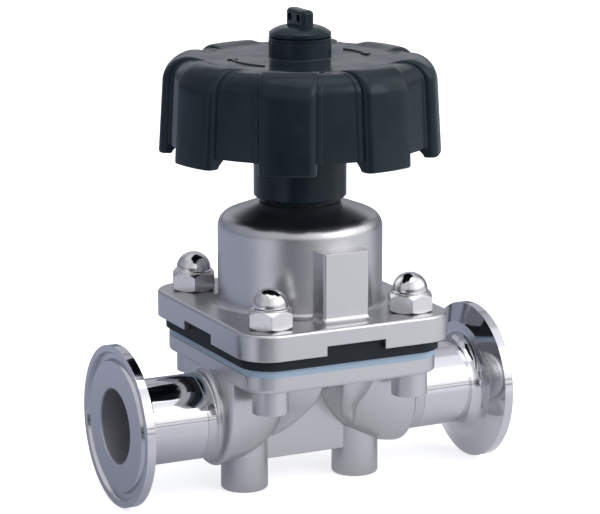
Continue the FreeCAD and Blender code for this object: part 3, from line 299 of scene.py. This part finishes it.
def cast_steel():
    """Investment cast 316L, bead blasted and electropolished: a pale satin grey with a fine grain. The
    flanges' rims are milled, and the stubs of the pipe are polished with the tubes welded to them."""
    material, tree, place = new_material("satin_cast_stainless_steel")
    soft_edges = node(tree, "ShaderNodeBevel", {"Radius": 0.35 * MM}, samples=6)
    cloud = node(tree, "ShaderNodeTexNoise", {"Vector": place, "Scale": 1 / (9 * MM), "Detail": 3.0})
    # Blasted grain is about 0.1 mm and is drawn at 0.35 mm so that it shows.
    grain = node(tree, "ShaderNodeTexNoise", {"Vector": place, "Scale": 1 / (0.35 * MM), "Detail": 2.0})
    # Milling lines run level, about 0.1 mm apart. They are drawn at 0.8 / 3 mm so that they show.
    lines_place = node(tree, "ShaderNodeMapping", {"Vector": place, "Scale": (0.05, 0.05, 3.0)})
    lines = node(tree, "ShaderNodeTexNoise", {
        "Vector": lines_place.outputs[0], "Scale": 1 / (0.8 * MM), "Detail": 3.0})
    parts = node(tree, "ShaderNodeSeparateXYZ", {0: place})
    blend = 0.5 * MM
    above_bottom = node(tree, "ShaderNodeMapRange", {
        "Value": parts.outputs["Z"], "From Min": FLANGE_BOTTOM - blend, "From Max": FLANGE_BOTTOM + blend})
    below_top = node(tree, "ShaderNodeMapRange", {
        "Value": parts.outputs["Z"], "From Min": FLANGE_TOP - blend, "From Max": FLANGE_TOP + blend,
        "To Min": 1.0, "To Max": 0.0})
    milled = node(tree, "ShaderNodeMath", {
        0: above_bottom.outputs[0], 1: below_top.outputs[0]}, operation="MULTIPLY")
    waves = node(tree, "ShaderNodeBump", {
        "Height": cloud.outputs["Fac"], "Normal": soft_edges.outputs[0], "Strength": 0.2,
        "Distance": 0.12 * MM})
    fine = node(tree, "ShaderNodeBump", {
        "Height": grain.outputs["Fac"], "Normal": waves.outputs[0], "Strength": 0.25, "Distance": 0.01 * MM})
    lines_strength = node(tree, "ShaderNodeMath", {0: milled.outputs[0], 1: 0.35}, operation="MULTIPLY")
    brushed = node(tree, "ShaderNodeBump", {
        "Height": lines.outputs["Fac"], "Normal": fine.outputs[0], "Strength": lines_strength.outputs[0],
        "Distance": 0.03 * MM})
    along = node(tree, "ShaderNodeMath", {0: parts.outputs["X"]}, operation="ABSOLUTE")
    stub = node(tree, "ShaderNodeMapRange", {
        "Value": along.outputs[0], "From Min": STUB_START - 0.1 * MM, "From Max": STUB_START + 0.1 * MM})
    below_bottom = node(tree, "ShaderNodeMapRange", {
        "Value": parts.outputs["Z"], "From Min": FLANGE_BOTTOM - blend, "From Max": FLANGE_BOTTOM + blend,
        "To Min": 1.0, "To Max": 0.0})
    polished = node(tree, "ShaderNodeMath", {
        0: stub.outputs[0], 1: below_bottom.outputs[0]}, operation="MULTIPLY")
    satin = node(tree, "ShaderNodeMapRange", {
        "Value": cloud.outputs["Fac"], "From Min": NOISE_LOW, "From Max": NOISE_HIGH,
        "To Min": 0.27, "To Max": 0.33})
    rough = node(tree, "ShaderNodeMix", {0: polished.outputs[0], 2: satin.outputs[0], 3: 0.07})
    finish_material(tree, node(tree, "ShaderNodeBsdfPrincipled", {
        "Base Color": linear("#c4c4c6"), "Metallic": 1.0, "Roughness": rough.outputs[0],
        "Normal": brushed.outputs[0]}))
    return material


def polished_steel():
    """Mirror polished 316L tube with a turned, softer gasket face and a dull bore, left as drawn."""
    material, tree, place = new_material("mirror_polished_stainless_steel")
    haze = node(tree, "ShaderNodeTexNoise", {"Vector": place, "Scale": 1 / (4 * MM), "Detail": 3.0})
    tube = node(tree, "ShaderNodeMapRange", {
        "Value": haze.outputs["Fac"], "From Min": NOISE_LOW, "From Max": NOISE_HIGH,
        "To Min": 0.05, "To Max": 0.09})
    # The gasket faces are the surfaces that look along the pipe.
    normal = node(tree, "ShaderNodeNewGeometry").outputs["Normal"]
    outward = node(tree, "ShaderNodeSeparateXYZ", {0: normal}).outputs["X"]
    facing = node(tree, "ShaderNodeMath", {0: outward}, operation="ABSOLUTE")
    turned = node(tree, "ShaderNodeMapRange", {
        "Value": facing.outputs[0], "From Min": 0.96, "From Max": 0.995, "To Min": 0.0, "To Max": 1.0})
    faced = node(tree, "ShaderNodeMix", {0: turned.outputs[0], 2: tube.outputs[0], 3: 0.22})
    parts = node(tree, "ShaderNodeSeparateXYZ", {0: place})
    rise = node(tree, "ShaderNodeMath", {0: parts.outputs["Z"], 1: PIPE_AXIS}, operation="SUBTRACT")
    across = node(tree, "ShaderNodeCombineXYZ", {"X": parts.outputs["Y"], "Y": rise.outputs[0]})
    radius = node(tree, "ShaderNodeVectorMath", {0: across.outputs[0]}, operation="LENGTH")
    inside = node(tree, "ShaderNodeMath", {0: radius.outputs["Value"], 1: BORE_EDGE}, operation="LESS_THAN")
    rough = node(tree, "ShaderNodeMix", {0: inside.outputs[0], 2: faced.outputs[0], 3: 0.46})
    # The bore's mouth is rounded more than the other edges.
    edge_radius = node(tree, "ShaderNodeMapRange", {
        "Value": radius.outputs["Value"], "From Min": MOUTH_SPAN[0], "From Max": MOUTH_SPAN[1],
        "To Min": 0.9 * MM, "To Max": 0.3 * MM})
    soft_edges = node(tree, "ShaderNodeBevel", {"Radius": edge_radius.outputs[0]}, samples=6)
    finish_material(tree, node(tree, "ShaderNodeBsdfPrincipled", {
        "Base Color": linear("#cfcfd3"), "Metallic": 1.0, "Roughness": rough.outputs[0],
        "Normal": soft_edges.outputs[0]}))
    return material


def bright_steel():
    """Cold formed stainless cap nut: smooth hexagon, polished dome."""
    material, tree, place = new_material("bright_stainless_steel")
    soft_edges = node(tree, "ShaderNodeBevel", {"Radius": 0.25 * MM}, samples=6)
    scuffs = node(tree, "ShaderNodeTexNoise", {"Vector": place, "Scale": 1 / (2.5 * MM), "Detail": 3.0})
    hexagon = node(tree, "ShaderNodeMapRange", {
        "Value": scuffs.outputs["Fac"], "From Min": NOISE_LOW, "From Max": NOISE_HIGH,
        "To Min": 0.22, "To Max": 0.30})
    height = node(tree, "ShaderNodeSeparateXYZ", {0: place}).outputs["Z"]
    dome = node(tree, "ShaderNodeMapRange", {
        "Value": height, "From Min": DOME_START - 0.2 * MM, "From Max": DOME_START + 0.2 * MM,
        "To Min": 0.0, "To Max": 1.0})
    rough = node(tree, "ShaderNodeMix", {0: dome.outputs[0], 2: hexagon.outputs[0], 3: 0.10})
    finish_material(tree, node(tree, "ShaderNodeBsdfPrincipled", {
        "Base Color": linear("#d6d5d6"), "Metallic": 1.0, "Roughness": rough.outputs[0],
        "Normal": soft_edges.outputs[0]}))
    return material


def turned_steel():
    """Bar turned on a lathe: fine rings round the spindle axis."""
    material, tree, place = new_material("turned_stainless_steel")
    # The rings are about 0.2 mm apart and are drawn at 1.9 mm, 0.314 of this scale, so that they show.
    rings = node(tree, "ShaderNodeTexWave", {
        "Vector": place, "Scale": 1 / (6.0 * MM), "Distortion": 0.4, "Detail": 1.0}, bands_direction="Z")
    bump = node(tree, "ShaderNodeBump", {
        "Height": rings.outputs["Fac"], "Strength": 0.2, "Distance": 0.02 * MM})
    finish_material(tree, node(tree, "ShaderNodeBsdfPrincipled", {
        "Base Color": linear("#bdbcbf"), "Metallic": 1.0, "Roughness": 0.24, "Normal": bump.outputs[0]}))
    return material


def wheel_plastic():
    """Injection moulded glass filled nylon: blue-black, semi gloss, with a faint eroded mould texture and
    the soft clouds that flowing glass fibre leaves in its gloss."""
    material, tree, place = new_material("moulded_black_nylon")
    flow = node(tree, "ShaderNodeTexNoise", {"Vector": place, "Scale": 1 / (9 * MM), "Detail": 3.0})
    # The eroded texture is about 0.1 mm and is drawn at 0.45 mm so that it shows.
    peel = node(tree, "ShaderNodeTexNoise", {"Vector": place, "Scale": 1 / (0.45 * MM), "Detail": 2.0})
    rough = node(tree, "ShaderNodeMapRange", {
        "Value": flow.outputs["Fac"], "From Min": NOISE_LOW, "From Max": NOISE_HIGH,
        "To Min": 0.13, "To Max": 0.25})
    colour = node(tree, "ShaderNodeMix", {
        0: flow.outputs["Fac"], 6: linear("#131b20"), 7: linear("#212b32")}, data_type="RGBA")
    # The moulding has sunk a little over its ribs, in slow waves.
    sink = node(tree, "ShaderNodeTexNoise", {"Vector": place, "Scale": 1 / (14 * MM), "Detail": 1.0})
    waves = node(tree, "ShaderNodeBump", {
        "Height": sink.outputs["Fac"], "Strength": 0.5, "Distance": 0.9 * MM})
    bump = node(tree, "ShaderNodeBump", {
        "Height": peel.outputs["Fac"], "Normal": waves.outputs[0], "Strength": 0.22, "Distance": 0.02 * MM})
    finish_material(tree, node(tree, "ShaderNodeBsdfPrincipled", {
        "Base Color": colour.outputs[2], "Roughness": rough.outputs[0], "IOR": 1.53,
        "Specular IOR Level": 0.26, "Specular Tint": linear("#c9dae0"), "Normal": bump.outputs[0]}))
    return material


def rubber():
    """Moulded EPDM: matt blue-black with a faint bloom."""
    material, tree, place = new_material("moulded_epdm_rubber")
    bloom = node(tree, "ShaderNodeTexNoise", {"Vector": place, "Scale": 1 / (1.5 * MM), "Detail": 4.0})
    colour = node(tree, "ShaderNodeMix", {
        0: bloom.outputs["Fac"], 6: linear("#10161c"), 7: linear("#1a222a")}, data_type="RGBA")
    bump = node(tree, "ShaderNodeBump", {
        "Height": bloom.outputs["Fac"], "Strength": 0.2, "Distance": 0.04 * MM})
    finish_material(tree, node(tree, "ShaderNodeBsdfPrincipled", {
        "Base Color": colour.outputs[2], "Roughness": 0.58, "IOR": 1.48, "Specular IOR Level": 0.3,
        "Normal": bump.outputs[0]}))
    return material


def ptfe():
    """Skived PTFE sheet: a pale blue cast, in faint level streaks from the knife."""
    material, tree, place = new_material("skived_ptfe")
    stretch = node(tree, "ShaderNodeMapping", {"Vector": place, "Scale": (1.0, 1.0, 8.0)})
    streaks = node(tree, "ShaderNodeTexNoise", {
        "Vector": stretch.outputs[0], "Scale": 1 / (3 * MM), "Detail": 3.0})
    colour = node(tree, "ShaderNodeMix", {
        0: streaks.outputs["Fac"], 6: linear("#8fa5ba"), 7: linear("#a9bccb")}, data_type="RGBA")
    finish_material(tree, node(tree, "ShaderNodeBsdfPrincipled", {
        "Base Color": colour.outputs[2], "Roughness": 0.42, "IOR": 1.38}))
    return material


def bronze():
    """Turned bearing bronze: warm yellow, a little clouded by tarnish."""
    material, tree, place = new_material("turned_bronze")
    tarnish = node(tree, "ShaderNodeTexNoise", {"Vector": place, "Scale": 1 / (5 * MM), "Detail": 4.0})
    colour = node(tree, "ShaderNodeMix", {
        0: tarnish.outputs["Fac"], 6: linear("#b98d4c"), 7: linear("#d3ab68")}, data_type="RGBA")
    finish_material(tree, node(tree, "ShaderNodeBsdfPrincipled", {
        "Base Color": colour.outputs[2], "Metallic": 1.0, "Roughness": 0.28}))
    return material


def bush_plastic():
    """Turned bearing plastic: ivory, half matt."""
    material, tree, place = new_material("turned_bearing_plastic")
    cast = node(tree, "ShaderNodeTexNoise", {"Vector": place, "Scale": 1 / (2 * MM), "Detail": 2.0})
    colour = node(tree, "ShaderNodeMix", {
        0: cast.outputs["Fac"], 6: linear("#cbc5b4"), 7: linear("#ded9ca")}, data_type="RGBA")
    finish_material(tree, node(tree, "ShaderNodeBsdfPrincipled", {
        "Base Color": colour.outputs[2], "Roughness": 0.45, "IOR": 1.49}))
    return material


# Pieces that trees of geometry nodes make

def shape_tree(name, sizes):
    """A new tree with an input of its own for each size, by the kind of its socket, and one for the material:
    the tree and what its inputs give."""
    tree = bpy.data.node_groups.new(name, "GeometryNodeTree")
    for title, kind in {"Geometry": "Geometry", **sizes, "Material": "Material"}.items():
        tree.interface.new_socket(title, in_out="INPUT", socket_type="NodeSocket" + kind)
    tree.interface.new_socket("Geometry", in_out="OUTPUT", socket_type="NodeSocketGeometry")
    return tree, node(tree, "NodeGroupInput").outputs


def finish_shape(tree, geometry, material):
    """End a tree in real geometry with its material."""
    real = node(tree, "GeometryNodeRealizeInstances", {"Geometry": geometry})
    coloured = node(tree, "GeometryNodeSetMaterial", {"Geometry": real.outputs[0], "Material": material})
    node(tree, "NodeGroupOutput", {"Geometry": coloured.outputs[0]})


def grown_piece(name, tree, values, drawn=None):
    """A plain mesh object at the origin that a tree makes from its named values, and from a drawn mesh where
    it needs one."""
    carrier = bpy.data.objects.new(name + "_carrier", drawn or bpy.data.meshes.new(name + "_empty"))
    bpy.context.scene.collection.objects.link(carrier)
    modifier = carrier.modifiers.new("grow", "NODES")
    modifier.node_group = tree
    inputs = [socket for socket in tree.interface.items_tree if socket.in_out == "INPUT"]
    identifiers = {socket.name: socket.identifier for socket in inputs}
    for title, value in values.items():
        modifier[identifiers[title]] = value
    bpy.context.view_layer.update()
    evaluated = carrier.evaluated_get(bpy.context.evaluated_depsgraph_get())
    mesh = bpy.data.meshes.new_from_object(evaluated)
    mesh.name = name
    bpy.data.objects.remove(carrier)
    piece = bpy.data.objects.new(name, mesh)
    bpy.context.scene.collection.objects.link(piece)
    return piece


@contextmanager
def reworked(mesh):
    """The mesh as a bmesh to work on. It goes back into the mesh at the end."""
    form = bmesh.new()
    form.from_mesh(mesh)
    yield form
    form.to_mesh(mesh)
    form.free()


def smooth_shaded(mesh, sharp_angle):
    """Shade a mesh smooth, but for edges that turn more than an angle in degrees."""
    mesh.polygons.foreach_set("use_smooth", [True] * len(mesh.polygons))
    mesh.set_sharp_from_angle(angle=math.radians(sharp_angle))


# Handwheel, in mm and degrees. Radii are from the spindle's axis and heights from the feet. One of its eight
# grips is drawn with its share of the rim, plate and hub, and a tree sets eight of them round the spindle.

GRIP_COUNT = 8
GRIP_TURN = 13.2
GRIP_STAND = 3.1
GRIP_DRAFT = 0.3
GRIP_HALF_WIDTH = 8.7
GRIP_LONG_ROUND = 2.1
GRIP_ROUND_MORE = 2.0
GRIP_FOOT_DRAFT = 0.03
GRIP_FLAT_COLUMNS = (0.0, 2.2, 4.4)
GRIP_ROUND_COLUMNS = 8

# A low step runs along each side of a grip.
STEP_STAND = 0.45
STEP_WIDTH = 1.7
STEP_ROUND = 0.45
STEP_FOOT_DRAFT = 0.05

# A grip's lip hangs below the rim.
LIP_DROP = 3.3
LIP_CORNER = 0.6
LIP_EDGE = 0.8
LIP_INNER_RADIUS = 39.6

RIM_BOTTOM = 109.6
RIM_FOOT_RADIUS = 40.7
RIM_HEAD_RADIUS = 39.7
RIM_INNER_FOOT = 37.4
RIM_ROUND = 6.2
RIM_EDGE = 0.4
RIM_ROWS = 4

WHEEL_FLAT = 135.6
CREST_RISE = 0.9
CREST_END = 28.0
CREST_ROWS = 8
HOLLOW_RADIUS = 36.5
HOLLOW_TOP = 132.0
HOLLOW_CORNER = 4.0

BOSS_RADIUS = 9.706
BOSS_FILLET = 0.5
BOSS_TOP = 142.0
BOSS_BORE = 7.806
GROOVE_RADIUS = 9.45
GROOVE_BOTTOM = 141.15
GROOVE_TOP = 141.4
GROOVE_SLOPE = 0.05

HUB_RADIUS = 14.5
HUB_BOTTOM = 91.2
HUB_CHAMFER = 1.6
SKIRT_BORE = 11.3
SKIRT_CEILING = 98.6
SOCKET_BORE = 8.2
SOCKET_TOP = 116.5

# The socket's hexagon is a sleeve, sunk into the wall of the socket's bore and a little shorter.
SLEEVE_RADIUS = 9.0
SLEEVE_SHORTER = 0.1
SLEEVE_COLUMNS = 48
HEX_APOTHEM = 7.05

RIB_HALF = 1.2
RIB_START = 13.0
RIB_END = 38.2
RIB_BOTTOM = 126.0
RIB_TOP = 134.0
BOX_FACES = ((0, 1, 3, 2), (4, 6, 7, 5), (0, 4, 5, 1), (2, 3, 7, 6), (0, 2, 6, 4), (1, 5, 7, 3))

SECTOR_SEAM = 0.002
SHORTEST_EDGE = 0.001
WHEEL_SHARP = 32


def round_spindle(radius, angle, height):
    """A place in metres from a radius, an angle and a height on the wheel."""
    return radius * math.cos(angle) * MM, radius * math.sin(angle) * MM, height * MM


def ring_faces(first, second, count):
    """Faces between two closed rings of vertices, from the number of each ring's first one."""
    following = [(row + 1) % count for row in range(count)]
    return [(first + row, second + row, second + after, first + after) for row, after in enumerate(following)]


def arc(centre, radius, start, end, count):
    """Points on an arc in the plane of radius and height."""
    points = []
    for index in range(count + 1):
        angle = math.radians(start + (end - start) * index / count)
        points.append((centre[0] + radius * math.cos(angle), centre[1] + radius * math.sin(angle)))
    return points


def wheel_section(stand, lip):
    """The wheel's section, counter-clockwise, where a grip stands so far off the rim, from 0 to 1, and its
    lip hangs so far below it, from 0 to 1."""
    foot = RIM_FOOT_RADIUS + GRIP_STAND * stand
    head = RIM_HEAD_RADIUS + (GRIP_STAND - GRIP_DRAFT) * stand
    shoulder = RIM_ROUND + GRIP_ROUND_MORE * stand
    crest = WHEEL_FLAT + CREST_RISE * stand
    bottom = RIM_BOTTOM - LIP_DROP * lip
    inner = LIP_EDGE * lip
    outer = RIM_EDGE + (LIP_EDGE - RIM_EDGE) * lip
    points = [(RIM_INNER_FOOT, RIM_BOTTOM)]
    points += arc((LIP_INNER_RADIUS + inner, bottom + inner), inner, 180, 270, 4)
    points += arc((foot - outer, bottom + outer), outer, -90, 0, 5)
    low = bottom + outer
    high = crest - shoulder
    for row in range(1, RIM_ROWS):
        share = row / RIM_ROWS
        points.append((foot + (head - foot) * share, low + (high - low) * share))
    points += arc((head - shoulder, high), shoulder, 0, 90, 12)
    start = head - shoulder
    for row in range(1, CREST_ROWS + 1):
        share = row / CREST_ROWS
        fall = (1 - math.cos(math.pi * share)) / 2
        points.append((start + (CREST_END - start) * share, crest + (WHEEL_FLAT - crest) * fall))
    points += arc((BOSS_RADIUS + BOSS_FILLET, WHEEL_FLAT + BOSS_FILLET), BOSS_FILLET, 270, 180, 5)
    points += [
        (BOSS_RADIUS, GROOVE_BOTTOM - GROOVE_SLOPE), (GROOVE_RADIUS, GROOVE_BOTTOM),
        (GROOVE_RADIUS, GROOVE_TOP), (BOSS_RADIUS, GROOVE_TOP + GROOVE_SLOPE), (BOSS_RADIUS, BOSS_TOP),
        (BOSS_BORE, BOSS_TOP), (BOSS_BORE, SOCKET_TOP), (SOCKET_BORE, SOCKET_TOP),
        (SOCKET_BORE, SKIRT_CEILING), (SKIRT_BORE, SKIRT_CEILING), (SKIRT_BORE, HUB_BOTTOM),
        (HUB_RADIUS - HUB_CHAMFER, HUB_BOTTOM), (HUB_RADIUS, HUB_BOTTOM + HUB_CHAMFER),
        (HUB_RADIUS, HOLLOW_TOP),
    ]
    points += arc((HOLLOW_RADIUS - HOLLOW_CORNER, HOLLOW_TOP - HOLLOW_CORNER), HOLLOW_CORNER, 90, 0, 6)
    return points


def grip_columns():
    """Half of a sector's columns, from the grip's middle to the rim between two grips: the distance from the
    middle, then the shares of the grip's stand and of its lip."""
    columns = [(aside, 1.0, 1.0) for aside in GRIP_FLAT_COLUMNS]
    straight = GRIP_HALF_WIDTH - GRIP_LONG_ROUND
    for index in range(GRIP_ROUND_COLUMNS + 1):
        turn = math.radians(90 * index / GRIP_ROUND_COLUMNS)
        aside = straight + GRIP_LONG_ROUND * math.sin(turn)
        fall = GRIP_LONG_ROUND * (1 - math.cos(turn))
        corner = max(0.0, aside - (GRIP_HALF_WIDTH - LIP_CORNER))
        lift = LIP_CORNER - math.sqrt(max(0.0, LIP_CORNER ** 2 - corner ** 2))
        columns.append((aside, 1 - fall / GRIP_STAND, 1 - lift / LIP_DROP))
    step = STEP_STAND / GRIP_STAND
    step_end = GRIP_HALF_WIDTH + STEP_WIDTH
    columns += [
        (GRIP_HALF_WIDTH + GRIP_FOOT_DRAFT, step, 0.0), (step_end - STEP_ROUND, step, 0.0),
        (step_end - STEP_ROUND / 3, step * 0.8, 0.0), (step_end, step * 0.4, 0.0),
        (step_end + STEP_FOOT_DRAFT, 0.0, 0.0),
    ]
    return columns


def wheel_sector():
    """One grip with its share of the rim, plate and hub, about +X, and its rib below the plate."""
    half = grip_columns()
    other_half = [(-aside, stand, lip) for aside, stand, lip in reversed(half[1:])]
    flank = math.pi / GRIP_COUNT
    rim = wheel_section(0.0, 0.0)
    vertices = [round_spindle(radius, -flank, height) for radius, height in rim]
    for aside, stand, lip in other_half + half:
        # Within the crest's end the columns run straight to the spindle's axis.
        vertices += [round_spindle(radius, math.asin(aside / max(radius, CREST_END)), height)
                     for radius, height in wheel_section(stand, lip)]
    vertices += [round_spindle(radius, flank, height) for radius, height in rim]
    faces = []
    for first in range(0, len(vertices) - len(rim), len(rim)):
        faces += ring_faces(first, first + len(rim), len(rim))
    first = len(vertices)
    vertices += [(x * MM, y * MM, z * MM) for x in (RIB_START, RIB_END) for y in (-RIB_HALF, RIB_HALF)
                 for z in (RIB_BOTTOM, RIB_TOP)]
    faces += [tuple(first + corner for corner in face) for face in BOX_FACES]
    mesh = bpy.data.meshes.new("grip_sector")
    mesh.from_pydata(vertices, [], faces)
    return mesh


def hexagon_sleeve():
    """The hub's hexagon socket, round outside: vertices and faces."""
    vertices, faces = [], []
    low = SKIRT_CEILING + SLEEVE_SHORTER
    high = SOCKET_TOP - SLEEVE_SHORTER
    for index in range(SLEEVE_COLUMNS):
        angle = math.tau * index / SLEEVE_COLUMNS
        off_flat = (angle + math.pi / 6) % (math.pi / 3) - math.pi / 6
        inner = HEX_APOTHEM / math.cos(off_flat)
        ring = ((SLEEVE_RADIUS, low), (SLEEVE_RADIUS, high), (inner, high), (inner, low))
        vertices += [round_spindle(radius, angle, height) for radius, height in ring]
        following = (index + 1) % SLEEVE_COLUMNS
        faces += ring_faces(index * len(ring), following * len(ring), len(ring))
    return vertices, faces


def sectors_round_spindle():
    """A tree of nodes that sets copies of a sector round Z and closes the seams between them."""
    tree, given = shape_tree("sectors_round_spindle", {
        "Count": "Int", "First Angle": "Float", "Seam": "Float"})
    points = node(tree, "GeometryNodePoints", {"Count": given["Count"]})
    number = node(tree, "GeometryNodeInputIndex")
    pitch = node(tree, "ShaderNodeMath", {0: math.tau, 1: given["Count"]}, operation="DIVIDE")
    turn = node(tree, "ShaderNodeMath", {
        0: number.outputs[0], 1: pitch.outputs[0], 2: given["First Angle"]}, operation="MULTIPLY_ADD")
    rotation = node(tree, "ShaderNodeCombineXYZ", {"Z": turn.outputs[0]})
    copies = node(tree, "GeometryNodeInstanceOnPoints", {
        "Points": points.outputs[0], "Instance": given["Geometry"], "Rotation": rotation.outputs[0]})
    real = node(tree, "GeometryNodeRealizeInstances", {"Geometry": copies.outputs[0]})
    closed = node(tree, "GeometryNodeMergeByDistance", {
        "Geometry": real.outputs[0], "Distance": given["Seam"]})
    finish_shape(tree, closed.outputs[0], given["Material"])
    return tree


def build_wheel(material):
    """The moulded handwheel, in place of the CAD's plainer one."""
    wheel = grown_piece("moulded_handwheel", sectors_round_spindle(), {
        "Count": GRIP_COUNT, "First Angle": math.radians(GRIP_TURN), "Seam": SECTOR_SEAM * MM,
        "Material": material}, wheel_sector())
    vertices, faces = hexagon_sleeve()
    with reworked(wheel.data) as form:
        corners = [form.verts.new(place) for place in vertices]
        for face in faces:
            form.faces.new([corners[index] for index in face])
        bmesh.ops.triangulate(form, faces=form.faces)
        bmesh.ops.dissolve_degenerate(form, dist=SHORTEST_EDGE * MM, edges=form.edges)
    smooth_shaded(wheel.data, WHEEL_SHARP)
    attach(wheel, "wheel_assembly")
    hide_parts("handwheel")


# The wheel's raised marks, in mm and degrees: two arcs on the plate that end in arrowheads, each with its
# start and sweep. A head begins at a share of its arc and narrows to its tip, in widths of the bead.

MARKS = ((213.5, -52.0), (23.5, -38.0))
MARK_RADIUS = 21.5
MARK_BEAD = 0.55
MARK_TOP = 0.8 * MARK_BEAD
MARK_SHARP = 40
HEAD_START = 0.84
HEAD_WIDTH = 3.4
HEAD_TIP = 0.15


def arrow_arc():
    """A tree of nodes that lays a bead along an arc and swells its end to an arrowhead."""
    tree, given = shape_tree("arrow_arc", {
        "Radius": "Float", "Height": "Float", "Start": "Float", "Sweep": "Float", "Bead": "Float",
        "Head Start": "Float", "Head Width": "Float", "Head Tip": "Float"})
    line = node(tree, "GeometryNodeCurveArc", {
        "Resolution": 64, "Radius": given["Radius"], "Start Angle": given["Start"],
        "Sweep Angle": given["Sweep"]})
    rise = node(tree, "ShaderNodeCombineXYZ", {"Z": given["Height"]})
    raised = node(tree, "GeometryNodeSetPosition", {"Geometry": line.outputs[0], "Offset": rise.outputs[0]})
    along = node(tree, "GeometryNodeSplineParameter").outputs["Factor"]
    head = node(tree, "ShaderNodeMapRange", {
        "Value": along, "From Min": given["Head Start"], "From Max": 1.0,
        "To Min": given["Head Width"], "To Max": given["Head Tip"]})
    in_head = node(tree, "ShaderNodeMath", {0: along, 1: given["Head Start"]}, operation="GREATER_THAN")
    swell = node(tree, "ShaderNodeMix", {0: in_head.outputs[0], 2: 1.0, 3: head.outputs[0]})
    section = node(tree, "GeometryNodeCurvePrimitiveCircle", {"Resolution": 8, "Radius": given["Bead"]})
    bead = node(tree, "GeometryNodeCurveToMesh", {
        "Curve": raised.outputs[0], "Profile Curve": section.outputs[0], "Scale": swell.outputs[0],
        "Fill Caps": True})
    finish_shape(tree, bead.outputs[0], given["Material"])
    return tree


def build_marks(material):
    """The raised arcs with their arrowheads, flattened so that a head is as low as its line."""
    tree = arrow_arc()
    for number, (start, sweep) in enumerate(MARKS):
        mark = grown_piece(f"wheel_mark_{number + 1}", tree, {
            "Radius": MARK_RADIUS * MM, "Height": WHEEL_FLAT * MM, "Start": math.radians(start),
            "Sweep": math.radians(sweep), "Bead": MARK_BEAD * MM, "Head Start": HEAD_START,
            "Head Width": HEAD_WIDTH, "Head Tip": HEAD_TIP, "Material": material})
        with reworked(mark.data) as form:
            for vertex in form.verts:
                rise = vertex.co.z / MM - WHEEL_FLAT
                vertex.co.z = WHEEL_FLAT * MM + max(-MARK_BEAD, min(MARK_TOP, rise)) * MM
            bmesh.ops.recalc_face_normals(form, faces=form.faces)
        smooth_shaded(mark.data, MARK_SHARP)
        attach(mark, "wheel_assembly")


# Orbital welds between the body's stubs and the tubes: low, even beads, sunk into the tube's wall.

WELD_PLACE = 34.9 * MM
WELD_BEAD = 0.5 * MM
WELD_SUNK = 0.27 * MM
WELD_SHARP = 60


def beads_round_pipe():
    """A tree of nodes that lays a bead round the pipe at both ends of the body."""
    tree, given = shape_tree("beads_round_pipe", {
        "Radius": "Float", "Place": "Float", "Axis Height": "Float", "Bead": "Float"})
    circle = node(tree, "GeometryNodeCurvePrimitiveCircle", {"Resolution": 160, "Radius": given["Radius"]})
    section = node(tree, "GeometryNodeCurvePrimitiveCircle", {"Resolution": 10, "Radius": given["Bead"]})
    bead = node(tree, "GeometryNodeCurveToMesh", {
        "Curve": circle.outputs[0], "Profile Curve": section.outputs[0]})
    both = node(tree, "GeometryNodeJoinGeometry")
    for side in (-1, 1):
        place = node(tree, "ShaderNodeMath", {0: given["Place"], 1: side}, operation="MULTIPLY")
        where = node(tree, "ShaderNodeCombineXYZ", {"X": place.outputs[0], "Z": given["Axis Height"]})
        end = node(tree, "GeometryNodeTransform", {
            "Geometry": bead.outputs[0], "Translation": where.outputs[0],
            "Rotation": (0.0, side * math.pi / 2, 0.0)})
        tree.links.new(end.outputs[0], both.inputs[0])
    finish_shape(tree, both.outputs[0], given["Material"])
    return tree


def build_welds(material):
    """The two weld beads."""
    welds = grown_piece("orbital_weld_beads", beads_round_pipe(), {
        "Radius": TUBE_RADIUS - WELD_SUNK, "Place": WELD_PLACE, "Axis Height": PIPE_AXIS, "Bead": WELD_BEAD,
        "Material": material})
    with reworked(welds.data) as form:
        bmesh.ops.recalc_face_normals(form, faces=form.faces)
    smooth_shaded(welds.data, WELD_SHARP)
    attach(welds, "valve_housing")


def dress(material, *names):
    """Give CAD pieces a finish."""
    for name in names:
        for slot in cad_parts[name].material_slots:
            slot.material = material


def dress_all():
    """Every CAD piece's finish, and the pieces that only this script makes."""
    dress(cast_steel(), "valve_body", "bonnet", "compressor")
    polished = polished_steel()
    dress(polished, "inlet_ferrule", "outlet_ferrule")
    build_welds(polished)
    dress(bright_steel(), "cap_nuts")
    dress(turned_steel(), "flange_studs", "bearing_retainer", "spindle", "compressor_pin", "diaphragm_stud",
          "travel_stop_nut", "travel_lock_nut")
    plastic = wheel_plastic()
    dress(plastic, "handwheel", "top_cap")
    build_wheel(plastic)
    build_marks(plastic)
    dress(rubber(), "backing_diaphragm", "neck_seal", "stem_seal", "cap_seal")
    dress(ptfe(), "ptfe_diaphragm")
    dress(bronze(), "spindle_nut")
    dress(bush_plastic(), "guide_bush", "lower_thrust_washer", "upper_thrust_washer")


def main():
    bpy.context.scene.view_settings.view_transform = "Standard"
    add_camera()
    build_world()
    add_softboxes()
    add_floor()
    dress_all()


main()
